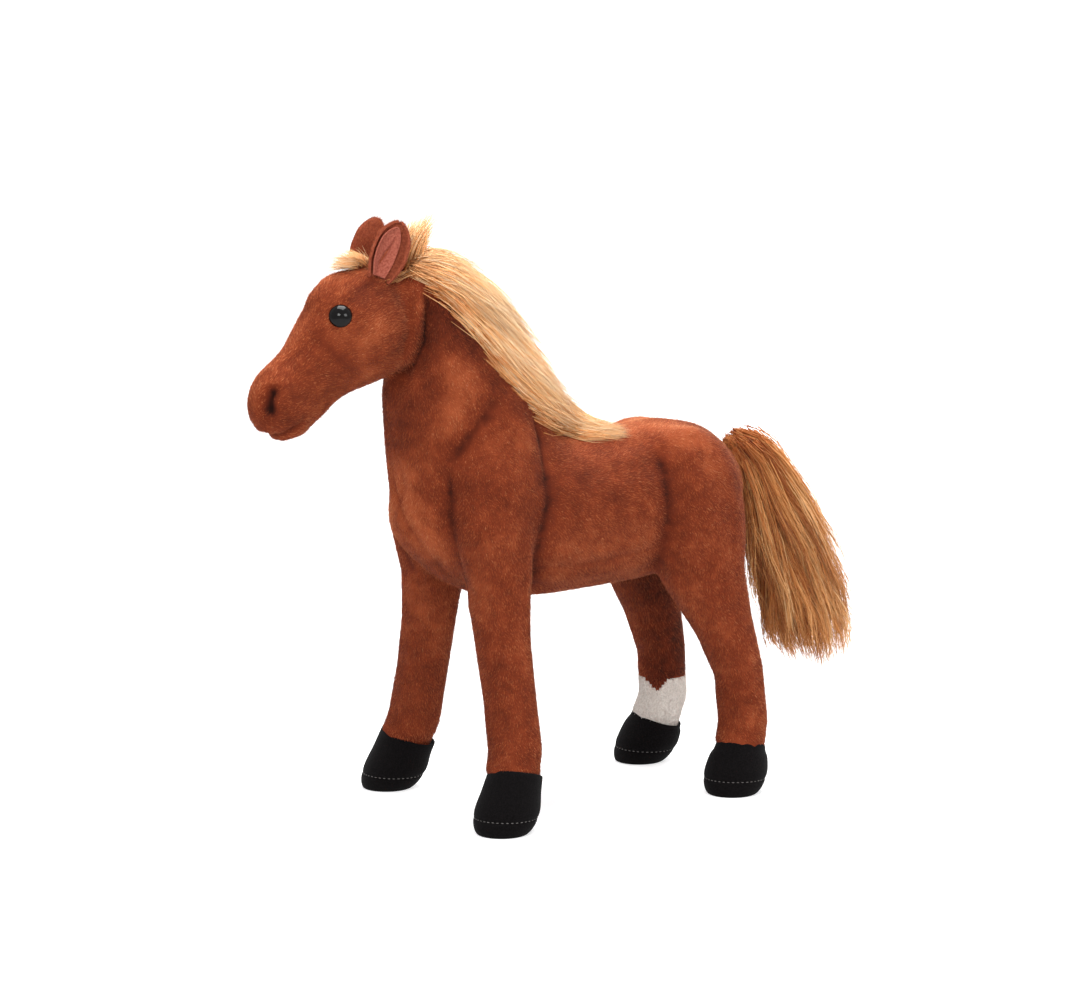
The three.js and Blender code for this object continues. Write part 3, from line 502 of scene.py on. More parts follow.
# %% Direction and tone of the pile
NAP = {
    "torso": (0.70, 0, -0.72), "neck": (0.30, 0, -0.95), "head": (0.83, 0, 0.30),
    "foreleg_left": (0.12, 0, -1), "foreleg_right": (0.12, 0, -1),
    "hindleg_left": (0.40, 0, -0.92), "hindleg_right": (0.40, 0, -0.92), "sock": (0.1, 0, -1),
}
BACK_NAP, BACK_FROM, BACK_FADE = np.array([0.95, 0, 0.1]), 0.45, 0.4
NAP_ROUNDS = 80
RUFFLES = ((70, 0.30), (190, 0.28))
PATCHES = ((28, 0.035), (70, 0.045), (170, 0.05), (420, 0.05))
PAINTED_SHADE_AMOUNT = 0.27
INNER_PAINTED_SHADE, INNER_HEIGHT = 0.26, 130
BRUSHED_AND_PAINTED_LIGHT = {
    "forehead": (0.14, 9, [(304, 296), (322, 282), (344, 274), (362, 270)]),
    "bridge": (0.08, 8, [(262, 376), (284, 350), (298, 322)]),
    "nose": (0.07, 7, [(254, 384), (252, 402)]),
    "lip": (-0.10, 7, [(276, 418), (296, 424)]),
    "muzzle": (-0.08, 9, [(300, 398), (322, 384)]),
    "cheek": (0.10, 13, [(366, 338), (384, 330)]),
    "cheek_low": (0.07, 6, [(372, 372), (392, 366), (406, 350)]),
    "temple": (-0.10, 7, [(372, 290), (358, 300)]),
    "throat": (-0.06, 10, [(396, 400), (402, 440)]),
    "neck_side": (-0.08, 20, [(430, 330), (424, 380), (414, 430)]),
    "neck": (0.20, 9, [(452, 368), (462, 388), (452, 410)]),
    "under_mane": (-0.17, 6, [(440, 306), (464, 334), (484, 366), (503, 396), (526, 418)]),
    "shoulder": (0.05, 10, [(518, 428), (526, 456)]),
    "arm": (-0.06, 14, [(478, 486), (500, 518)]),
    "chest": (0.24, 12, [(400, 480), (410, 515), (428, 548)]),
    "ribs": (-0.05, 16, [(572, 466), (610, 476)]),
    "belly": (0.07, 12, [(570, 556), (600, 545), (640, 530)]),
    "back": (0.22, 12, [(560, 434), (590, 427), (620, 424), (650, 424), (680, 428)]),
    "rump": (0.06, 12, [(690, 440), (706, 458)]),
    "thigh": (-0.05, 8, [(676, 490), (676, 530), (668, 560)]),
    "stifle": (0.04, 10, [(700, 520), (712, 560)]),
    "shin": (-0.04, 14, [(730, 620), (732, 690)]),
    "cannon": (-0.04, 14, [(500, 660), (505, 740)]),
}


def field(frequency, offset):
    """A smooth random vector at every point of the skin."""
    shift = Vector((offset, 0, 0))
    return np.array([list(noise.noise_vector(Vector(p) * frequency + shift)) for p in folded])


def unit(rows):
    return rows / np.linalg.norm(rows, axis=-1, keepdims=True)


def flat_on(rows, out):
    """Directions without their part along the unit vectors out, so that they lie flat."""
    return unit(rows - out * (rows * out).sum(axis=-1, keepdims=True))


nap = share_of_skin @ np.array([NAP[form] for form in SKINS])
upper = ((normals[:, 2] - BACK_FROM) / BACK_FADE).clip(0, 1)[:, None]
upper = upper * share_of_skin[:, SKINS.index("torso")][:, None]
nap = nap * (1 - upper) + BACK_NAP * upper
for _ in range(NAP_ROUNDS):
    nap = neighbour_mean(nap, edges)
nap = flat_on(nap, normals)
tone_of_skin = np.full(len(folded), 0.5)
for k, (frequency, amount) in enumerate(RUFFLES):
    nap += amount * field(frequency, 10 + k) * 2
for k, (frequency, amount) in enumerate(PATCHES):
    tone_of_skin += amount * field(frequency, 20 + k)[:, 0] * 2
nap = flat_on(nap, normals)
# Brushed patches of nap, together with painted light on lit places and painted shade in hollows.
for amount, width, pixels in BRUSHED_AND_PAINTED_LIGHT.values():
    tone_of_skin += amount * near_line(pixels, width)
# Painted shade: the inner sides of the hind legs, low down, are darker, as the body shades them.
hind = share_of_skin[:, [SKINS.index(f"hindleg_{side}") for side in SIDES]].sum(axis=1)
inner = (-normals[:, 1] * np.sign(folded[:, 1])).clip(0, 1) * (folded[:, 2] < INNER_HEIGHT * MM)
tone_of_skin -= INNER_PAINTED_SHADE * inner * hind
# Painted shade from the folds, the cheek's rim and the nostrils darkens the tone.
tone_of_skin -= PAINTED_SHADE_AMOUNT * shade
print("tone from", round(tone_of_skin.min(), 2), "to", round(tone_of_skin.max(), 2))

# %% [markdown]
# ## Ends of the legs
# Each leg ends in a hoof whose top edge is tilted: it is higher at the toe and on the outer
# side. The skin is cut a little below that edge, where the hoof hides it.

# %% Cut the legs off inside the hooves
FEET = {
    "foreleg": {"sole": (-75.87, 62.0), "ankle": (-64.87, 57.0), "height": 29.5, "ankle_width": 27.8},
    "hindleg": {"sole": (77.63, 47.0), "ankle": (86.63, 42.0), "height": 25.5, "ankle_width": 26.0},
}
EDGE_FALL_BACK, EDGE_RISE_OUT = 0.24, 0.243
TUCK, FRINGE = 4.0, 0.4
BARE = 0.55


def hoof_edge(pair, x, y):
    """Height of the hoof's top edge over a place on the floor."""
    foot = FEET[pair]
    back, out = x - foot["ankle"][0] * MM, np.abs(y) - foot["ankle"][1] * MM
    return foot["height"] * MM - EDGE_FALL_BACK * back + EDGE_RISE_OUT * out


fore_edge, hind_edge = (hoof_edge(pair, folded[:, 0], folded[:, 1]) for pair in FEET)
over_edge = folded[:, 2] - np.where(folded[:, 0] < 0, fore_edge, hind_edge)
kept = over_edge > -TUCK * MM
furred = (over_edge > -FRINGE * MM) & (nostril < BARE)
print("cut away inside the hooves:", np.count_nonzero(~kept), "points")

# %% Make the skins
CLOTH, FILL = 1.2, 0.9
TONE = "tone"
RIM_ANGLE = math.radians(50)

corners = read(mesh.polygons, "vertices", 4, int)
corners = corners[kept[corners].all(axis=1)]
face_skin = np.array([np.bincount(c, minlength=len(SKINS)).argmax() for c in skin_number[corners]])
skins = {}
for number, form in enumerate(SKINS):
    faces = corners[face_skin == number]
    used, local = np.unique(faces, return_inverse=True)
    part = bpy.data.meshes.new(f"{form}_cloth")
    part.from_pydata(folded[used].tolist(), [], local.reshape(-1, 4).tolist())
    cloth_tone = part.attributes.new(TONE, "FLOAT", "POINT")
    cloth_tone.data.foreach_set("value", tone_of_skin[used].astype(np.float32))
    skins[form] = new_object(f"{form}_cloth", part)
    apply_modifier(skins[form], "SOLIDIFY", thickness=CLOTH * MM, offset=-1)
    bpy.ops.object.shade_smooth_by_angle(angle=RIM_ANGLE)
    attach(skins[form], "horse")
    inside = [] if form == "sock" else [f"{form}_stuffing"]
    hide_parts(skin_node[form], *inside)
bpy.data.objects.remove(plush)
print("skins:", {form: len(obj.data.polygons) for form, obj in skins.items()})

# %% [markdown]
# ## Materials
# Colours are written as they look on a screen and turned into the linear values that Blender
# renders with. Every fur is one long ramp of colours: the map's first coordinate picks the
# tone of a hair, and its second runs from root to tip, darkening the roots with painted shade.


# %% Colour and node helpers
def linear(colour):
    return [((c / 255 + 0.055) / 1.055) ** 2.4 if c > 10 else c / 255 / 12.92 for c in colour] + [1]


def new_material(name):
    material = bpy.data.materials.new(name)
    material.use_nodes = True
    tree = material.node_tree
    return material, tree, tree.nodes["Principled BSDF"]


def feed(tree, node, inputs):
    """Give each input its value, or link it to another node's output."""
    for key, value in inputs.items():
        if isinstance(value, bpy.types.NodeSocket):
            tree.links.new(value, node.inputs[key])
        else:
            node.inputs[key].default_value = value


def add_node(tree, kind, inputs=None, **settings):
    """A new node with its settings made and its inputs fed."""
    node = tree.nodes.new(f"ShaderNode{kind}")
    for key, value in settings.items():
        setattr(node, key, value)
    feed(tree, node, inputs or {})
    return node


def ramp(tree, source, stops):
    """A colour ramp of (place, screen colour) stops, fed from an output."""
    node = add_node(tree, "ValToRGB", {"Fac": source})
    while len(node.color_ramp.elements) < len(stops):
        node.color_ramp.elements.new(0.5)
    for element, (place, colour) in zip(node.color_ramp.elements, stops):
        element.position, element.color = place, linear(colour)
    return node.outputs["Color"]


# %% Fur materials
HAIR_MAP = "OFBake"
WHITE = (255, 255, 255)
# Painted shade: strands are darker towards the root, where the pile shades itself.
PAINTED_ROOT_SHADE = [(0, (190, 170, 160)), (0.5, (235, 228, 224)), (1, WHITE)]
SHEEN_TINT = (255, 190, 140)


def fur_material(name, tones, along, sheen, roughness=0.85):
    """Tones by the map's first coordinate, and painted shade that darkens the roots by its second."""
    material, tree, shader = new_material(name)
    place = add_node(tree, "UVMap", uv_map=HAIR_MAP).outputs["UV"]
    split = add_node(tree, "SeparateXYZ", {"Vector": place}).outputs
    layers = {"Factor": 1, 6: ramp(tree, split["X"], tones), 7: ramp(tree, split["Y"], along)}
    colour = add_node(tree, "Mix", layers, data_type="RGBA", blend_type="MULTIPLY").outputs[2]
    feed(tree, shader, {
        "Base Color": colour, "Roughness": roughness, "Specular IOR Level": 0.2,
        "Sheen Weight": sheen, "Sheen Roughness": 0.4, "Sheen Tint": linear(SHEEN_TINT),
    })
    return material


BROWNS = [
    (0, (44, 11, 4)), (0.25, (108, 40, 16)), (0.5, (164, 75, 38)),
    (0.75, (204, 114, 68)), (1, (236, 166, 118)),
]
WHITES = [(0, (210, 200, 192)), (0.5, (245, 240, 236)), (1, (255, 253, 251))]
brown_pile = fur_material("brown_pile", BROWNS, PAINTED_ROOT_SHADE, 0.15)
white_pile = fur_material("white_pile", WHITES, PAINTED_ROOT_SHADE, 0.2)


# %% Ground cloth under the pile
def cloth_material(name, stops, tone=None, grain=900, detail=4, bump=(0.75, 0.3), shine=0.15, sheen=0):
    """Fine fuzz that raises the cloth and colours it, unless a tone attribute does."""
    material, tree, shader = new_material(name)
    place = add_node(tree, "TexCoord").outputs["Object"]
    fuzz = add_node(tree, "TexNoise", {"Scale": grain, "Detail": detail, "Vector": place}).outputs["Fac"]
    source = add_node(tree, "Attribute", attribute_name=tone).outputs["Fac"] if tone else fuzz
    raised = add_node(tree, "Bump", {"Strength": bump[0], "Distance": bump[1] * MM, "Height": fuzz})
    feed(tree, shader, {
        "Base Color": ramp(tree, source, stops), "Normal": raised.outputs["Normal"],
        "Roughness": 0.95, "Specular IOR Level": shine, "Sheen Weight": sheen,
    })
    return material


GROUND_BROWNS = [
    (0, (20, 5, 2)), (0.14, (48, 14, 5)), (0.3, (80, 28, 11)), (0.5, (108, 43, 20)),
    (0.75, (150, 72, 40)), (1, (190, 116, 76)),
]
brown_ground = cloth_material("brown_ground", GROUND_BROWNS, tone=TONE)
white_ground = cloth_material("white_ground", [(0.3, (190, 180, 170)), (0.7, (225, 218, 210))])
for form, obj in skins.items():
    obj.data.materials.append(white_ground if form == "sock" else brown_ground)
print("materials:", [material.name for material in (brown_pile, white_pile, brown_ground, white_ground)])

# %% [markdown]
# ## Strands
# Blender's own hair can't be exported, so each hair is a thin tapered mesh: rings of three
# points along a rail, closed by one face at the root and drawn to a point at the tip. All
# strands of a piece are laid out at once as arrays, which takes seconds for many thousands.

# %% Strands along rails
FLATNESS = 0.5
MAP_STRIP = 0.0015


def strand_object(name, rails, widths, tones, across, material):
    """Tapered strands: rails (n, steps, 3), a width per ring, a tone and a sideways way each."""
    count, rings = rails.shape[0], rails.shape[1] - 1
    along = unit(np.diff(rails, axis=1))
    sideways = flat_on(across[:, None, :], along)
    upright = np.cross(along, sideways)
    angle = np.arange(3)[:, None] * math.tau / 3
    turned = np.cos(angle) * sideways[:, :, None] + FLATNESS * np.sin(angle) * upright[:, :, None]
    ring = rails[:, :-1, None, :] + turned * widths[:, :, None, None] / 2
    places = np.concatenate([ring.reshape(count, -1, 3), rails[:, -1:]], axis=1)
    per_strand = rings * 3 + 1

    faces = [(2, 1, 0)]
    for r in range(0, 3 * rings - 3, 3):
        faces += [(r + i, r + (i + 1) % 3, r + 3 + (i + 1) % 3, r + 3 + i) for i in range(3)]
    faces += [(3 * rings - 3 + i, 3 * rings - 3 + (i + 1) % 3, 3 * rings) for i in range(3)]
    loop = np.array([v for face in faces for v in face])
    sizes = np.array([len(face) for face in faces])
    loops = (loop[None, :] + per_strand * np.arange(count)[:, None]).ravel()
    starts = np.concatenate([[0], np.cumsum(np.tile(sizes, count))[:-1]])

    strip = np.append(np.tile([-1, 0, 1], rings), 0) * MAP_STRIP
    height = np.append((np.repeat(np.arange(rings), 3) + np.tile([0, 0.04, 0.02], rings)) / rings, 1)
    first = 0.01 + 0.98 * tones.clip(0, 1)[:, None] + strip[None, :]
    uv = np.stack([first, np.broadcast_to(height, first.shape)], axis=2).reshape(-1, 2)

    mesh = bpy.data.meshes.new(name)
    mesh.vertices.add(count * per_strand)
    mesh.vertices.foreach_set("co", places.ravel())
    mesh.loops.add(len(loops))
    mesh.loops.foreach_set("vertex_index", loops.astype(np.int32))
    mesh.polygons.add(len(starts))
    mesh.polygons.foreach_set("loop_start", starts.astype(np.int32))
    mesh.uv_layers.new(name=HAIR_MAP)
    mesh.uv_layers[HAIR_MAP].uv.foreach_set("vector", uv[loops].astype(np.float32).ravel())
    mesh.update(calc_edges=True)
    mesh.materials.append(material)
    return smooth(new_object(name, mesh))


def strands_in_parts(name, most, rails, widths, tones, across, material, body):
    """Strands in pieces small enough to export, riding one body."""
    parts = -(-len(rails) // most)
    made = []
    for k in range(parts):
        pick = slice(k, None, parts)
        label = name if parts == 1 else f"{name}_{k + 1}"
        made.append(strand_object(label, rails[pick], widths[pick], tones[pick], across[pick], material))
        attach(made[-1], body)
    return made


# %% [markdown]
# ## Short pile
# Roots are scattered over the skin in proportion to its area. A strand starts just under the
# surface and leans over so far that its tip stands about a millimetre proud.

# %% Scatter and comb the pile
PILE_PER_MM2 = 2.0
PILE_LENGTH, PILE_WIDTH = 2.4, 0.34
PILE_LEAN, PILE_SINK = 0.38, 0.3
SEAM_SHORTENING = 0.5
COMB_MESS, LEAN_MESS, TONE_MESS, TONE_LIFT = 0.16, 0.12, 0.15, 0.03
MOST_STRANDS = 49000

triangles = np.concatenate([corners[:, [0, 1, 2]], corners[:, [0, 2, 3]]])
triangle_skin = np.tile(face_skin, 2)


def outward(places, triangles):
    """A vector square to each triangle, twice as long as the triangle is large."""
    a, b, c = (places[triangles[:, k]] for k in range(3))
    return np.cross(b - a, c - a)


def scattered(hosts, wanted):
    """Each host as often as wanted, where a fraction is a chance."""
    return np.repeat(hosts, np.floor(wanted + rng.random(len(wanted))).astype(int))


area = np.linalg.norm(outward(folded, triangles), axis=1) / 2
print("skin:", round(area.sum() / MM**2), "square millimetres")


def pile(name, chosen, material):
    """Pile on the chosen triangles, in pieces small enough to export."""
    chosen = chosen[furred[triangles[chosen]].all(axis=1)]
    host = scattered(chosen, PILE_PER_MM2 * area[chosen] / MM**2)
    weight = rng.random((len(host), 2))
    weight = np.where(weight.sum(axis=1, keepdims=True) > 1, 1 - weight, weight)
    weight = np.column_stack([1 - weight.sum(axis=1), weight])

    def on_host(values):
        return (values[triangles[host]] * weight[:, :, None]).sum(axis=1)

    out = unit(on_host(normals))
    comb = on_host(nap) + rng.normal(0, COMB_MESS, out.shape)
    length = PILE_LENGTH * MM * rng.uniform(0.7, 1.15, len(host))
    length *= 1 - SEAM_SHORTENING * on_host(shade[:, None])[:, 0]
    lean = PILE_LEAN + rng.normal(0, LEAN_MESS, len(host))
    way = unit(comb + out * lean[:, None])
    root = on_host(folded) - out * PILE_SINK * MM
    rails = np.stack([root, root + way * length[:, None]], axis=1)
    tones = on_host(tone_of_skin[:, None])[:, 0] + rng.normal(TONE_LIFT, TONE_MESS, len(host))
    widths = PILE_WIDTH * MM * rng.uniform(0.75, 1.25, (len(host), 1))
    strands_in_parts(name, MOST_STRANDS, rails, widths, tones, np.cross(way, out), material, "horse")
    return len(host)


total = 0
for number, form in enumerate(SKINS):
    fur = white_pile if form == "sock" else brown_pile
    total += pile(f"{form}_pile", np.flatnonzero(triangle_skin == number), fur)
print("pile:", total, "strands")

# %% [markdown]
# ## Long hair
# The mane and the tail are long-pile fur. Its hairs stick together in locks that end in a
# point. So a few hundred locks are laid first, each as one rail, and then every lock gets its
# hairs, which start apart and draw together towards the tip.

# %% Locks and their hairs
HAIR_STEPS, LOCK_STEPS = 6, 14
SHORTEST_HAIR, TIP_WIDTH, HAIR_TONE_MESS = 0.62, 0.45, 0.13
HAIR_ROOM = 0.4
MOST_HAIRS = 7000


def hairs_of(locks, tones, hairs, spread, gather, frizz):
    """Rails and tones of the hairs: each follows its lock, beside it."""
    lock = np.repeat(np.arange(len(locks)), hairs)
    reach = rng.uniform(SHORTEST_HAIR, 1.0, len(lock))
    share = np.linspace(0, 1, HAIR_STEPS)
    place = share[None, :] * reach[:, None] * (LOCK_STEPS - 1)
    low = np.floor(place).astype(int).clip(0, LOCK_STEPS - 2)
    part = (place - low)[:, :, None]
    rail = locks[lock[:, None], low] * (1 - part) + locks[lock[:, None], low + 1] * part
    beside = rng.normal(0, 1, (len(lock), 1, 3)) * spread * MM
    stray = rng.normal(0, 1, (len(lock), 1, 3)) * frizz * MM
    along = share[None, :, None]
    rail = rail + beside * (1 - gather * along**1.3) + stray * along**2
    return rail, tones[lock] + rng.normal(0, HAIR_TONE_MESS, len(lock))


def clear_of_skin(rails, room):
    """Push rail points that lie under the skin, or too near it, out to the given room."""
    flat = rails.reshape(-1, 3)
    for i, p in enumerate(flat):
        near, out, _, _ = skin_tree.find_nearest(p)
        depth = (Vector(p) - near).dot(out)
        if depth < room * MM:
            flat[i] = p + np.array(out) * (room * MM - depth)
    return flat.reshape(rails.shape)


def hair_object(name, rails, tones, width, material, body, node):
    """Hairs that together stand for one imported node."""
    taper = np.linspace(1, TIP_WIDTH, HAIR_STEPS - 1)
    widths = width * MM * rng.uniform(0.7, 1.3, (len(rails), 1)) * taper[None, :]
    across = rng.normal(0, 1, (len(rails), 3))
    made = strands_in_parts(name, MOST_HAIRS, rails, widths, tones, across, material, body)
    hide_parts(node)
    print(f"{name}:", len(rails), "hairs in", len(made), "pieces")


MANE_TONES = [
    (0, (150, 78, 32)), (0.25, (218, 142, 78)), (0.5, (250, 196, 134)),
    (0.75, (255, 220, 168)), (1, (255, 236, 202)),
]
TAIL_TONES = [
    (0, (104, 52, 22)), (0.25, (166, 96, 48)), (0.5, (212, 142, 82)),
    (0.75, (240, 182, 120)), (1, (254, 218, 168)),
]
# Painted shade at the roots of the mane and tail hairs.
MANE_ROOT_SHADE = [(0, (180, 130, 94)), (0.3, (244, 222, 202)), (1, WHITE)]
TAIL_ROOT_SHADE = [(0, (190, 150, 122)), (0.4, (235, 222, 208)), (1, WHITE)]
mane_fur = fur_material("mane_fur", MANE_TONES, MANE_ROOT_SHADE, 0.4, 0.7)
tail_fur = fur_material("tail_fur", TAIL_TONES, TAIL_ROOT_SHADE, 0.25, 0.7)

# %% [markdown]
# ## Mane
# The mane is a strip of fur sewn along the neck, and it sweeps back over the crest. Two lines
# on the photograph bound it: its seam on the near side of the neck, and its loose upper edge.
# A place in it is then three shares: along it, round from the seam over the crest, and up from
# the skin. A quarter of an ellipse joins the two lines, and runs on over the far side.

# %% The body of the mane
MANE_SEAM = [
    (402, 264), (415, 276), (430, 290), (447, 305), (460, 322), (478, 345),
    (490, 367), (502, 385), (515, 402), (540, 424), (578, 440), (622, 440),
]
MANE_EDGE = [
    (404, 244), (430, 236), (458, 252), (480, 268), (500, 288), (519, 316),
    (540, 354), (557, 385), (583, 414), (621, 437),
]
LINE_STEPS = 40
SEAM_SIDE, EDGE_SIDE = -20, -2


def pixels_along(pixels, count):
    """Pixels at even steps along a line of pixels."""
    pixels = np.array(pixels, dtype=float)
    run = np.concatenate([[0], np.cumsum(np.linalg.norm(np.diff(pixels, axis=0), axis=1))])
    at = np.linspace(0, run[-1], count)
    return np.stack([np.interp(at, run, pixels[:, k]) for k in range(2)], axis=1)


def on_planes(pixels, sides):
    """The places behind pixels, each on an upright plane of its own."""
    return np.array([list(on_plane(u, v, side)) for (u, v), side in zip(pixels, sides)])


def line_on_plane(pixels, side):
    return on_planes(pixels_along(pixels, LINE_STEPS), [side] * LINE_STEPS)


def at_share(line, share):
    steps = np.linspace(0, 1, len(line))
    return np.stack([np.interp(share, steps, line[:, k]) for k in range(3)], axis=-1)


mane_seam = line_on_plane(MANE_SEAM, SEAM_SIDE)
for k, (u, v) in enumerate(pixels_along(MANE_SEAM, LINE_STEPS)):
    hit = on_skin(u, v)
    if hit is not None:
        mane_seam[k] = hit
mane_edge = line_on_plane(MANE_EDGE, EDGE_SIDE)


def in_mane(share, around, level):
    """Places by their share along the mane, round it and up from the skin."""
    foot, crown = at_share(mane_seam, share), at_share(mane_edge, share)
    angle = around * math.pi / 2
    grown = np.stack([np.sin(angle), 1 - np.cos(angle), np.sin(angle)], axis=-1)
    places = foot + (crown - foot) * grown
    for at in np.ndindex(share.shape):
        near = np.array(skin_tree.find_nearest(places[at])[0])
        places[at] = near + (places[at] - near) * level[at]
    return places


# %% Locks of the mane
MANE_LOCKS, MANE_HAIRS, MANE_HAIR = 400, 20, {"spread": 1.9, "gather": 0.6, "frizz": 1.7}
MANE_BEGIN, MANE_LOCK, MANE_ROUND = (-0.02, 0.84), (0.26, 0.5), (0.02, 1.35)
MANE_DRIFT, MANE_WAVE, MANE_STRAY = (0.26, 0.1), 0.04, 0.09
STEPS = np.linspace(0, 1, LOCK_STEPS)[None, :]

begin = rng.uniform(*MANE_BEGIN, (MANE_LOCKS, 1))
length = np.minimum(rng.uniform(*MANE_LOCK, (MANE_LOCKS, 1)), 1.0 - begin)
around = rng.uniform(*MANE_ROUND, (MANE_LOCKS, 1))
drift = rng.normal(*MANE_DRIFT, (MANE_LOCKS, 1)) * (1.1 - around).clip(-0.4, 1)
level = rng.uniform(0, 1, (MANE_LOCKS, 1)) ** 0.6
wave = MANE_WAVE * np.sin(math.tau * (STEPS * 0.9 + rng.uniform(0, 1, (MANE_LOCKS, 1))))
stray = rng.exponential(MANE_STRAY, (MANE_LOCKS, 1)) * STEPS**3
grown = level * (1 - (1 - STEPS) ** 2.6) + stray
mane_locks = in_mane(begin + length * STEPS**1.1, around + (drift + wave) * STEPS, grown)
# Painted light and shade: locks standing further out and over the crest are lighter, those low by the seam
# darker.
mane_tones = 0.50 + 0.30 * level[:, 0] + 0.2 * around[:, 0].clip(0, 1) + rng.normal(0, 0.13, MANE_LOCKS)
mane_rails, mane_hair_tones = hairs_of(mane_locks, mane_tones, MANE_HAIRS, **MANE_HAIR)
mane_rails = clear_of_skin(mane_rails, HAIR_ROOM)

# %% Tufts that stand up: one behind the ears, and the forelock between them
QUIFF = {
    "feet": [(397, 263), (406, 266), (418, 262)],
    "tips": [(414, 217), (423, 212), (435, 208), (438, 214), (434, 222), (436, 230)],
    "locks": 44, "hairs": 13, "side": (-6, 4), "arch": 0.45,
}
FORELOCK = {
    "feet": [(368, 264), (360, 264), (353, 265)],
    "tips": [(350, 251), (342, 252), (333, 257), (325, 264), (320, 270)],
    "locks": 34, "hairs": 20, "side": (-6, 7), "arch": 0.55,
}
TUFT_PLACES, FOOT_SIDE = 50, 0.7
TUFT_HAIR = {"spread": 1.3, "gather": 0.6, "frizz": 1.6}


def tuft(feet, tips, locks, hairs, side, arch):
    """Arched locks from a line of feet to a line of tips, both given in pixels."""
    share, y = rng.uniform(0, 1, locks), rng.uniform(*side, locks)
    chosen = (share * (TUFT_PLACES - 1)).astype(int)
    foot = on_planes(pixels_along(feet, TUFT_PLACES)[chosen], y * FOOT_SIDE)
    tip = on_planes(pixels_along(tips, TUFT_PLACES)[chosen], y)
    tip = foot + (tip - foot) * rng.uniform(0.7, 1.05, (locks, 1))
    middle = foot + (tip - foot) * np.array([0.5 - 0.35 * arch, 0.5, 0.5 + 0.35 * arch])
    step = STEPS[0][None, :, None]
    rails = foot[:, None] * (1 - step) ** 2 + middle[:, None] * 2 * step * (1 - step)
    rails += tip[:, None] * step**2
    return hairs_of(rails, 0.74 + rng.normal(0, 0.12, locks), hairs, **TUFT_HAIR)


quiff_rails, quiff_tones = tuft(**QUIFF)
rails = np.concatenate([mane_rails, clear_of_skin(quiff_rails, 0.3)])
tones = np.concatenate([mane_hair_tones, quiff_tones])
hair_object("mane_hair", rails, tones, 0.62, mane_fur, "horse", "mane")
rails, tones = tuft(**FORELOCK)
hair_object("forelock_hair", clear_of_skin(rails, HAIR_ROOM), tones, 0.42, mane_fur, "horse", "forelock")

# %% [markdown]
# ## Tail
# The tail is a rolled strip of the same long pile. Two lines on the photograph are its inner
# and outer edge. Hairs leave its core over the upper half of its length, open out between the
# two edges and end at many heights, in loose points.

# %% The two edges of the tail
TAIL_INNER = [
    (726, 448), (733, 474), (737, 505), (741, 540), (745, 577), (752, 612), (764, 644), (790, 676),
]
TAIL_OUTER = [
    (737, 429), (761, 431), (780, 449), (802, 487), (831, 539), (851, 588), (855, 620), (850, 652),
    (838, 680),
]
TAIL_WIDTH = 36 * MM
TAIL_SIZES = [(0, 0.35), (0.14, 0.5), (0.3, 0.7), (0.5, 0.88), (0.72, 1.0), (0.9, 1.0), (1, 0.8)]
TAIL_LOCKS, TAIL_HAIRS, TAIL_HAIR = 360, 21, {"spread": 1.5, "gather": 0.62, "frizz": 2.0}
TAIL_BEGIN, TAIL_LOCK = (0, 0.7), (0.42, 0.7)
TAIL_WAVE, KNOT_SHARE = 2.8, 0.1

tail_inner, tail_outer = line_on_plane(TAIL_INNER, 0), line_on_plane(TAIL_OUTER, 0)
print("tail reaches down to", round(tail_outer[:, 2].min() / MM), "mm")

# %% Locks of the tail
turn_at = rng.uniform(0, math.tau, (TAIL_LOCKS, 1))
radius = np.sqrt(rng.uniform(0.02, 1.0, (TAIL_LOCKS, 1)))
begin = rng.uniform(*TAIL_BEGIN, (TAIL_LOCKS, 1)) ** 1.6
finish = np.minimum(begin + rng.uniform(*TAIL_LOCK, (TAIL_LOCKS, 1)), 1 - 0.1 * radius**2)
share = begin + (finish - begin) * STEPS
root_width = np.where(begin < KNOT_SHARE, 0.85, 0.35)
opened = root_width + (1 - root_width) * np.sin(STEPS * math.pi / 2)
wave = TAIL_WAVE * MM * np.sin(math.tau * (1.3 * STEPS + rng.uniform(0, 1, (TAIL_LOCKS, 1)))) * STEPS
inner, outer = at_share(tail_inner, share), at_share(tail_outer, share)
over = radius * np.cos(turn_at) * opened + 0.1 * (STEPS - 0.3)
tail_locks = (inner + outer) / 2 + (outer - inner) / 2 * over[:, :, None]
half_width = np.interp(share, *zip(*TAIL_SIZES)) * TAIL_WIDTH / 2
tail_locks[:, :, 1] += half_width * radius * np.sin(turn_at) * opened + wave
tail_locks += np.roll(wave, 1, axis=0)[:, :, None] * np.array([0.8, 0, 0.4])
tail_tones = 0.42 + 0.22 * radius[:, 0] * np.cos(turn_at[:, 0]).clip(-0.4, 1) + 0.14 * begin[:, 0]
tail_tones += rng.normal(0, 0.16, TAIL_LOCKS)
rails, tones = hairs_of(tail_locks, tail_tones, TAIL_HAIRS, **TAIL_HAIR)
hair_object("tail_hair", rails, tones, 0.8, tail_fur, "tail", "tail")


def repaint(node, material):
    nodes[node].data.materials.clear()
    nodes[node].data.materials.append(material)


repaint("tail_knot", cloth_material("knot_fur", [(0.3, (104, 54, 24)), (0.7, (150, 90, 48))]))

# %% [markdown]
# ## Hooves
# A hoof is a cap of black cloth sewn to a padded sole. Both are round bodies: a circle is
# extruded ring by ring, then the whole is leaned forward over its toe and its top is tilted.

# %% A body from rings
def primitive(kind, name, **settings):
    """A new primitive, with nothing else selected."""
    bpy.ops.object.select_all(action="DESELECT")
    getattr(bpy.ops.mesh, f"primitive_{kind}_add")(**settings)
    obj = bpy.context.object
    obj.name = name
    return obj


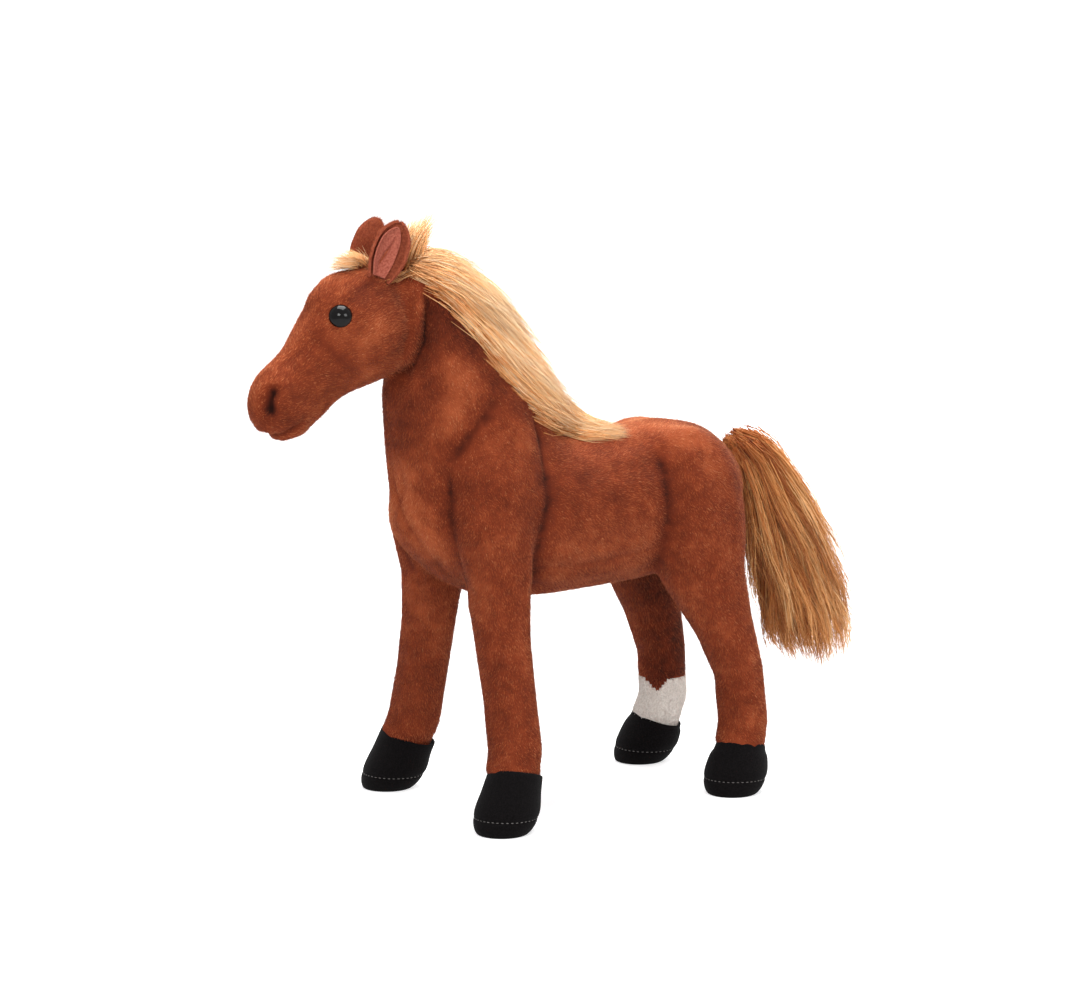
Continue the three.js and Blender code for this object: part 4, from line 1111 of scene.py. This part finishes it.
def face_outwards(obj):
    only(obj)
    bpy.ops.object.mode_set(mode="EDIT")
    bpy.ops.mesh.select_all(action="SELECT")
    bpy.ops.mesh.normals_make_consistent(inside=False)
    bpy.ops.object.mode_set(mode="OBJECT")


def ringed(name, rings, sides):
    """A closed round body from (height, radius) rings, bottom to top, in millimetres."""
    height, radius = rings[0]
    place = (0, 0, height * MM)
    obj = primitive("circle", name, vertices=sides, radius=radius * MM, fill_type="NGON", location=place)
    bpy.ops.object.transform_apply(location=True, rotation=True, scale=True)
    bpy.ops.object.mode_set(mode="EDIT")
    bpy.ops.mesh.select_all(action="SELECT")
    for next_height, next_radius in rings[1:]:
        rise = (next_height - height) * MM
        bpy.ops.mesh.extrude_region_move(TRANSFORM_OT_translate={"value": (0, 0, rise)})
        grow = next_radius / radius
        bpy.ops.transform.resize(value=(grow, grow, 1), center_override=(0, 0, next_height * MM))
        height, radius = next_height, next_radius
    bpy.ops.object.mode_set(mode="OBJECT")
    face_outwards(obj)
    return obj


# %% Hoof shapes
HOOF_SIDES = 48
SEAM_HEIGHT, SEAM_RADIUS = 8.0, 16.2
SOLE_RINGS = [
    (0, 11.5), (0, 12.6), (0.7, 13.7), (2.5, 15.0), (5, 16.1), (7.2, 16.5), (7.9, 16.1), (8.1, 15.0),
]
CAP_RINGS = [(8.0, 15.0), (8.1, 16.1), (8.7, 16.6), (10, 16.9), (12.5, 16.85), (16, 16.2), (20, 15.3)]
HOOF_STRETCH, WALL = 1.03, 0.9
HOOF_MIRROR = {"left": (1, -1, 1), "right": (1, 1, 1)}


def in_hoof(places, pair):
    """Lean upright places over the toe, and tilt them with the hoof's top edge."""
    foot = FEET[pair]
    height = foot["height"] * MM
    share = places[:, 2:] / height
    middle = (np.array(foot["sole"]) * (1 - share) + np.array(foot["ankle"]) * share) * MM
    x, y = places[:, 0] * HOOF_STRETCH + middle[:, 0], places[:, 1] + middle[:, 1]
    tilt_by = (hoof_edge(pair, x, y) - height) * share[:, 0].clip(0, 1) ** 2
    return np.column_stack([x, y, places[:, 2] + tilt_by])


def hoof_piece(name, rings, pair, side):
    obj = ringed(name, rings, HOOF_SIDES)
    set_points(obj.data, in_hoof(points_of(obj.data), pair) * HOOF_MIRROR[side])
    if side == "left":
        obj.data.flip_normals()
    apply_modifier(obj, "SUBSURF", levels=1, render_levels=1)
    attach(smooth(obj), "horse")
    return obj


# %% Hoof cloth and thread
def plain_material(name, colour, roughness, shine=0.5):
    material, tree, shader = new_material(name)
    feed(tree, shader, {
        "Base Color": linear(colour), "Roughness": roughness, "Specular IOR Level": shine,
    })
    return material


BLACKS = [(0.35, (3, 2, 2)), (0.7, (15, 12, 13))]
hoof_cloth = cloth_material(
    "hoof_cloth", BLACKS, grain=1400, detail=6, bump=(0.8, 0.25), shine=0.08, sheen=0.02,
)
grey_thread = plain_material("grey_thread", (88, 84, 82), 0.8)

# %% Stitches round the seam
STITCHES, STITCH_SIZE = 40, (1.5, 0.5, 0.5)


def stitches(name, pair, side):
    """One short stitch, copied round the hoof along its seam."""
    one = primitive("uv_sphere", "stitch", segments=8, ring_count=5, radius=0.5 * MM)
    shape = points_of(one.data) * STITCH_SIZE
    faces = [list(face.vertices) for face in one.data.polygons]
    bpy.data.objects.remove(one)
    angle = math.tau * np.arange(STITCHES) / STITCHES
    level, upright = np.zeros(STITCHES), np.ones(STITCHES)
    out = np.column_stack([np.cos(angle), np.sin(angle), level])
    along = np.column_stack([-np.sin(angle), np.cos(angle), level])
    spots = in_hoof((out * SEAM_RADIUS + (0, 0, SEAM_HEIGHT)) * MM, pair)
    axes = np.stack([along, out, np.column_stack([level, level, upright])], axis=1)
    places = (spots[:, None] + shape @ axes).reshape(-1, 3) * HOOF_MIRROR[side]
    made = bpy.data.meshes.new(name)
    copies = [[v + len(shape) * k for v in face] for k in range(STITCHES) for face in faces]
    made.from_pydata(places.tolist(), [], copies)
    made.materials.append(grey_thread)
    obj = smooth(new_object(name, made))
    if side == "right":
        made.flip_normals()
    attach(obj, "horse")


# %% Make the hooves
ANKLE_ROOM = 0.3

for pair, foot in FEET.items():
    for side in SIDES:
        hoof = f"hoof_{pair.removesuffix('leg')}_{side}"
        top, ankle = foot["height"], foot["ankle_width"] / 2 + ANKLE_ROOM
        rim = [
            (top - 4, ankle + 0.45), (top - 0.6, ankle), (top, ankle - 0.4),
            (top - 0.6, ankle - WALL), (top - 4, ankle - WALL - 0.4),
        ]
        cap = hoof_piece(f"{hoof}_cap", CAP_RINGS + rim, pair, side)
        sole = hoof_piece(f"{hoof}_pad", SOLE_RINGS, pair, side)
        for piece, node in ((cap, "upper"), (sole, "sole")):
            piece.data.materials.append(hoof_cloth)
            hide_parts(f"{hoof}_{node}")
        stitches(f"{hoof}_stitches", pair, side)
        print(hoof, "made:", len(cap.data.polygons), "and", len(sole.data.polygons), "faces")

# %% [markdown]
# ## Eyes
# A safety eye is a moulded black dome on a stem that is pushed through the cloth. Only the
# dome shows. It looks along the normal of the skin and is polished, which gives sharp lights.
# The washer that holds it sits inside the head.

# %% Make the eyes
EYE_DOME, EYE_SUNK, EYE_SIDES = 4.6, 1.4, 32
EYE_RINGS = [
    (-1.2, 4.5), (-1.2, 5.6), (-0.4, 6.15), (0.4, 6.3), (1.2, 6.1),
    (2.3, 5.35), (3.3, 4.1), (4.1, 2.5), (4.5, 1.1), (4.6, 0.2),
]

eye_gloss = plain_material("eye_gloss", (8, 6, 6), 0.05, 0.15)
washer_plastic = plain_material("washer_plastic", (222, 222, 222), 0.5)


def eye_axis(side):
    """Middle of the eye's foot and the way it looks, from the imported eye."""
    packed = points_of(nodes[f"eye_{side}"].data)
    out = np.array(skin_tree.find_nearest(Vector(packed.mean(axis=0)))[1])
    height = packed @ out
    foot = packed[height > height.max() - EYE_DOME * MM]
    centre = (foot.max(axis=0) + foot.min(axis=0)) / 2
    return centre + out * (height.max() - centre @ out - (EYE_DOME + EYE_SUNK) * MM), out


for side in SIDES:
    centre, out = eye_axis(side)
    eye = ringed(f"eye_{side}_dome", EYE_RINGS, EYE_SIDES)
    turned_to = Vector(out).to_track_quat("Z", "Y").to_matrix()
    set_points(eye.data, points_of(eye.data) @ np.array(turned_to).T + centre)
    apply_modifier(eye, "SUBSURF", levels=2, render_levels=2)
    smooth(eye).data.materials.append(eye_gloss)
    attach(eye, "horse")
    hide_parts(f"eye_{side}")
    repaint(f"eye_washer_{side}", washer_plastic)
    print("eye", side, "looks", [round(float(v), 2) for v in out])

# %% [markdown]
# ## Ears
# An ear is a leaf of cloth folded lengthwise round its lining. The outer cloth rolls over the
# rim, more at the rear, and the lining is pinched into a crease that runs up from the front of
# the base. Each ear stands on its own hinge line, and the right ear mirrors the left.

# %% Ear shape
EAR_LEAN, EAR_SPLAY, EAR_OPEN = math.radians(24), math.radians(3), math.radians(84)
EAR_LENGTH, EAR_WIDTH, EAR_CUP, EAR_TUCK = 28.2, 19.2, 5.5, 4.0
EAR_OUTLINE = [
    (0, 0.56), (0.12, 0.72), (0.25, 0.9), (0.45, 1.0), (0.65, 0.95), (0.82, 0.84), (1, 0.66),
]
EAR_CUPS = [(0, 0.5), (0.2, 0.8), (0.45, 1), (0.7, 0.85), (0.9, 0.55), (1, 0.35)]
EAR_TIP, EAR_BLUNT = 0.32, 0.998
EAR_COLUMNS, EAR_ROWS, ROWS_CLOSING_UP = 44, 36, 0.6
ROLL_FRONT, ROLL_REAR = math.radians(88), math.radians(128)
LINING_REAR, LINING_GROW, LINING_FORWARD = math.radians(38), 0.82, 1.7
EAR_THICK, LINING_THICK = 1.6, 0.8
CREASE_FOOT, CREASE_HEAD = 0.40, -0.35
CREASE_DEPTH, CREASE_WIDTH = 2.2, 0.11
EAR_MIRROR = {"left": (1, 1, 1), "right": (1, -1, 1)}

ear_along = unit(np.array([math.sin(EAR_LEAN), -math.sin(EAR_SPLAY), 1]))
ear_facing = flat_on(np.array([-math.cos(EAR_OPEN), -math.sin(EAR_OPEN), 0]), ear_along)
ear_across = np.cross(ear_facing, ear_along)


def from_table(share, table):
    """Read a table with its corners rounded, as a weighted mean of nine places side by side."""
    steps = np.arange(-4, 5)
    beside = [np.interp(share + step * 0.015, *zip(*table)) for step in steps]
    return np.average(beside, axis=0, weights=bell(steps, 2.5))


def leaf(name, side, front, rear, grow, forward, crease):
    """A curved leaf of the ear: a grid bent round its length, with its front rim at u = 1."""
    obj = primitive("grid", name, x_subdivisions=EAR_COLUMNS, y_subdivisions=EAR_ROWS, size=2)
    flat = points_of(obj.data)
    u, even = flat[:, 0], (flat[:, 1] + 1) / 2
    v = (1 - ROWS_CLOSING_UP) * even + ROWS_CLOSING_UP * np.sin(even * math.pi / 2)
    rounded = np.sqrt(1 - EAR_BLUNT * ((v - 1 + EAR_TIP).clip(0) / EAR_TIP) ** 2)
    half = EAR_WIDTH / 2 * from_table(v, EAR_OUTLINE) * rounded * grow
    cup = EAR_CUP * from_table(v, EAR_CUPS)
    bend = np.where(u > 0, u * front, u * rear)
    x = half * np.sin(bend)
    y = cup * ((1 - np.cos(bend)) * 0.75 - 0.35) + forward
    crease_at = CREASE_FOOT + (CREASE_HEAD - CREASE_FOOT) * v
    y -= crease * bell(u - crease_at, CREASE_WIDTH) * np.sin(np.pi * (v * 1.15).clip(0, 1))
    z = EAR_LENGTH * (grow * v + (1 - grow) * 0.4) - EAR_TUCK * (1 - v)
    places = (x[:, None] * ear_across + y[:, None] * ear_facing + z[:, None] * ear_along) * MM
    set_points(obj.data, places * EAR_MIRROR[side] + hinge[f"ear_{side}_fold"])
    return obj


ear_cloth = cloth_material("ear_cloth", [(0.3, (112, 50, 32)), (0.7, (150, 76, 52))])
lining_cloth = cloth_material("lining_cloth", [(0.3, (130, 64, 50)), (0.7, (168, 94, 76))])
ears = {}
for side in SIDES:
    outer = leaf(f"ear_{side}_leaf", side, ROLL_FRONT, ROLL_REAR, 1.0, 0.0, 0)
    lining = leaf(
        f"ear_{side}_inner", side, ROLL_FRONT, LINING_REAR, LINING_GROW, LINING_FORWARD, CREASE_DEPTH,
    )
    for obj, thick, material, node in (
        (outer, EAR_THICK, ear_cloth, f"ear_{side}"),
        (lining, LINING_THICK, lining_cloth, f"ear_lining_{side}"),
    ):
        apply_modifier(obj, "SOLIDIFY", thickness=thick * MM, offset=0)
        apply_modifier(obj, "SUBSURF", levels=1, render_levels=1)
        face_outwards(obj)
        smooth(obj).data.materials.append(material)
        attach(obj, f"ear_{side}")
        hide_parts(node)
    ears[side] = outer
print("ears:", {side: len(obj.data.polygons) for side, obj in ears.items()})

# %% Very short pile on the backs and rims of the ears
EAR_PILE_PER_MM2, EAR_PILE_LENGTH, EAR_PILE_WIDTH = 3.0, 1.3, 0.26
EAR_TONE, EAR_TONE_MESS, EAR_BACK = 0.42, 0.13, 0.25
EAR_PILE_LEAN, EAR_PILE_MESS, EAR_PILE_SINK = 0.55, 0.25, 0.2


def ear_pile(side):
    mesh = ears[side].data
    mesh.calc_loop_triangles()
    corner = read(mesh.loop_triangles, "vertices", 3, int)
    places, outs = points_of(mesh), normals_of(mesh)
    cross = outward(places, corner)
    wanted = EAR_PILE_PER_MM2 * np.linalg.norm(cross, axis=1) / 2 / MM**2
    wanted[unit(cross) @ (ear_facing * EAR_MIRROR[side]) > EAR_BACK] = 0
    host = scattered(np.arange(len(corner)), wanted)
    weight = rng.dirichlet((1, 1, 1), len(host))[:, :, None]
    root, out = ((rows[corner[host]] * weight).sum(axis=1) for rows in (places, outs))
    way = unit(ear_along * EAR_MIRROR[side] + out * EAR_PILE_LEAN + rng.normal(0, EAR_PILE_MESS, out.shape))
    length = EAR_PILE_LENGTH * MM * rng.uniform(0.6, 1.1, (len(host), 1))
    rails = np.stack([root - out * EAR_PILE_SINK * MM, root + way * length], axis=1)
    widths = EAR_PILE_WIDTH * MM * rng.uniform(0.75, 1.25, (len(host), 1))
    tones = EAR_TONE + rng.normal(0, EAR_TONE_MESS, len(host))
    name, body = f"ear_{side}_pile", f"ear_{side}"
    strands_in_parts(name, MOST_STRANDS, rails, widths, tones, np.cross(way, out), brown_pile, body)
    return len(host)


print("ear pile:", [ear_pile(side) for side in SIDES], "strands")

# %% [markdown]
# ## Floor and light
# The photograph shows a white ground and soft light. The floor and the world glow
# white only for rays that look at them, so the backdrop is white but sheds little light on the
# horse, and the floor still takes its shadow.


# %% The floor
def looking_rays(tree):
    """1 for rays that look at the backdrop: from the camera, off a gloss or through something clear."""
    path = add_node(tree, "LightPath").outputs
    found = path["Is Camera Ray"]
    for kind in ("Is Glossy Ray", "Is Transmission Ray"):
        found = add_node(tree, "Math", {0: found, 1: path[kind]}, operation="MAXIMUM").outputs["Value"]
    return found


floor = primitive("plane", "floor", size=60)
floor_white, tree, shader = new_material("floor_white")
tree.nodes.remove(shader)
place = add_node(tree, "TexCoord").outputs["Object"]
far = add_node(tree, "VectorMath", {0: place}, operation="LENGTH").outputs["Value"]
glow_by_distance = {"Value": far, "From Min": 0.3, "From Max": 3.0, "To Min": 0.6, "To Max": 1.0}
brighter = add_node(tree, "MapRange", glow_by_distance).outputs["Result"]
strength = add_node(tree, "Math", {0: looking_rays(tree), 1: brighter}, operation="MULTIPLY")
glow = add_node(tree, "Emission", {"Strength": strength.outputs["Value"]}).outputs["Emission"]
paper = add_node(tree, "BsdfDiffuse", {"Color": (0.72, 0.72, 0.73, 1)}).outputs["BSDF"]
both = add_node(tree, "AddShader", {0: paper, 1: glow}).outputs["Shader"]
feed(tree, tree.nodes["Material Output"], {"Surface": both})
floor.data.materials.append(floor_white)

# %% The world and the lamps
WORLD_LIGHT = 0.24
LAMPS = {
    "key": ((-1.5, -1.3, 1.4), 0.8, 33),
    "fill": ((0.7, -2.0, 1.2), 0.8, 21),
    "top": ((0.2, 0.2, 1.8), 1.2, 50),
    "rim": ((1.5, 0.9, 1.1), 0.7, 13),
}
LAMP_TARGET = Vector((0, 0, 0.15))

world = bpy.data.worlds.new("studio")
scene.world = world
world.use_nodes = True
tree = world.node_tree
backdrop = add_node(tree, "MapRange", {"Value": looking_rays(tree), "To Min": WORLD_LIGHT, "To Max": 1})
feed(tree, tree.nodes["Background"], {"Color": (1, 1, 1, 1), "Strength": backdrop.outputs["Result"]})
for name, (place, size, power) in LAMPS.items():
    lamp = new_object(name, bpy.data.lights.new(name, "AREA"))
    lamp.data.size = size
    lamp.data.energy = power
    aim(lamp, place, LAMP_TARGET - Vector(place))
print("lamps:", {name: power for name, (_, _, power) in LAMPS.items()}, "W")

scene.view_settings.view_transform = "Standard"
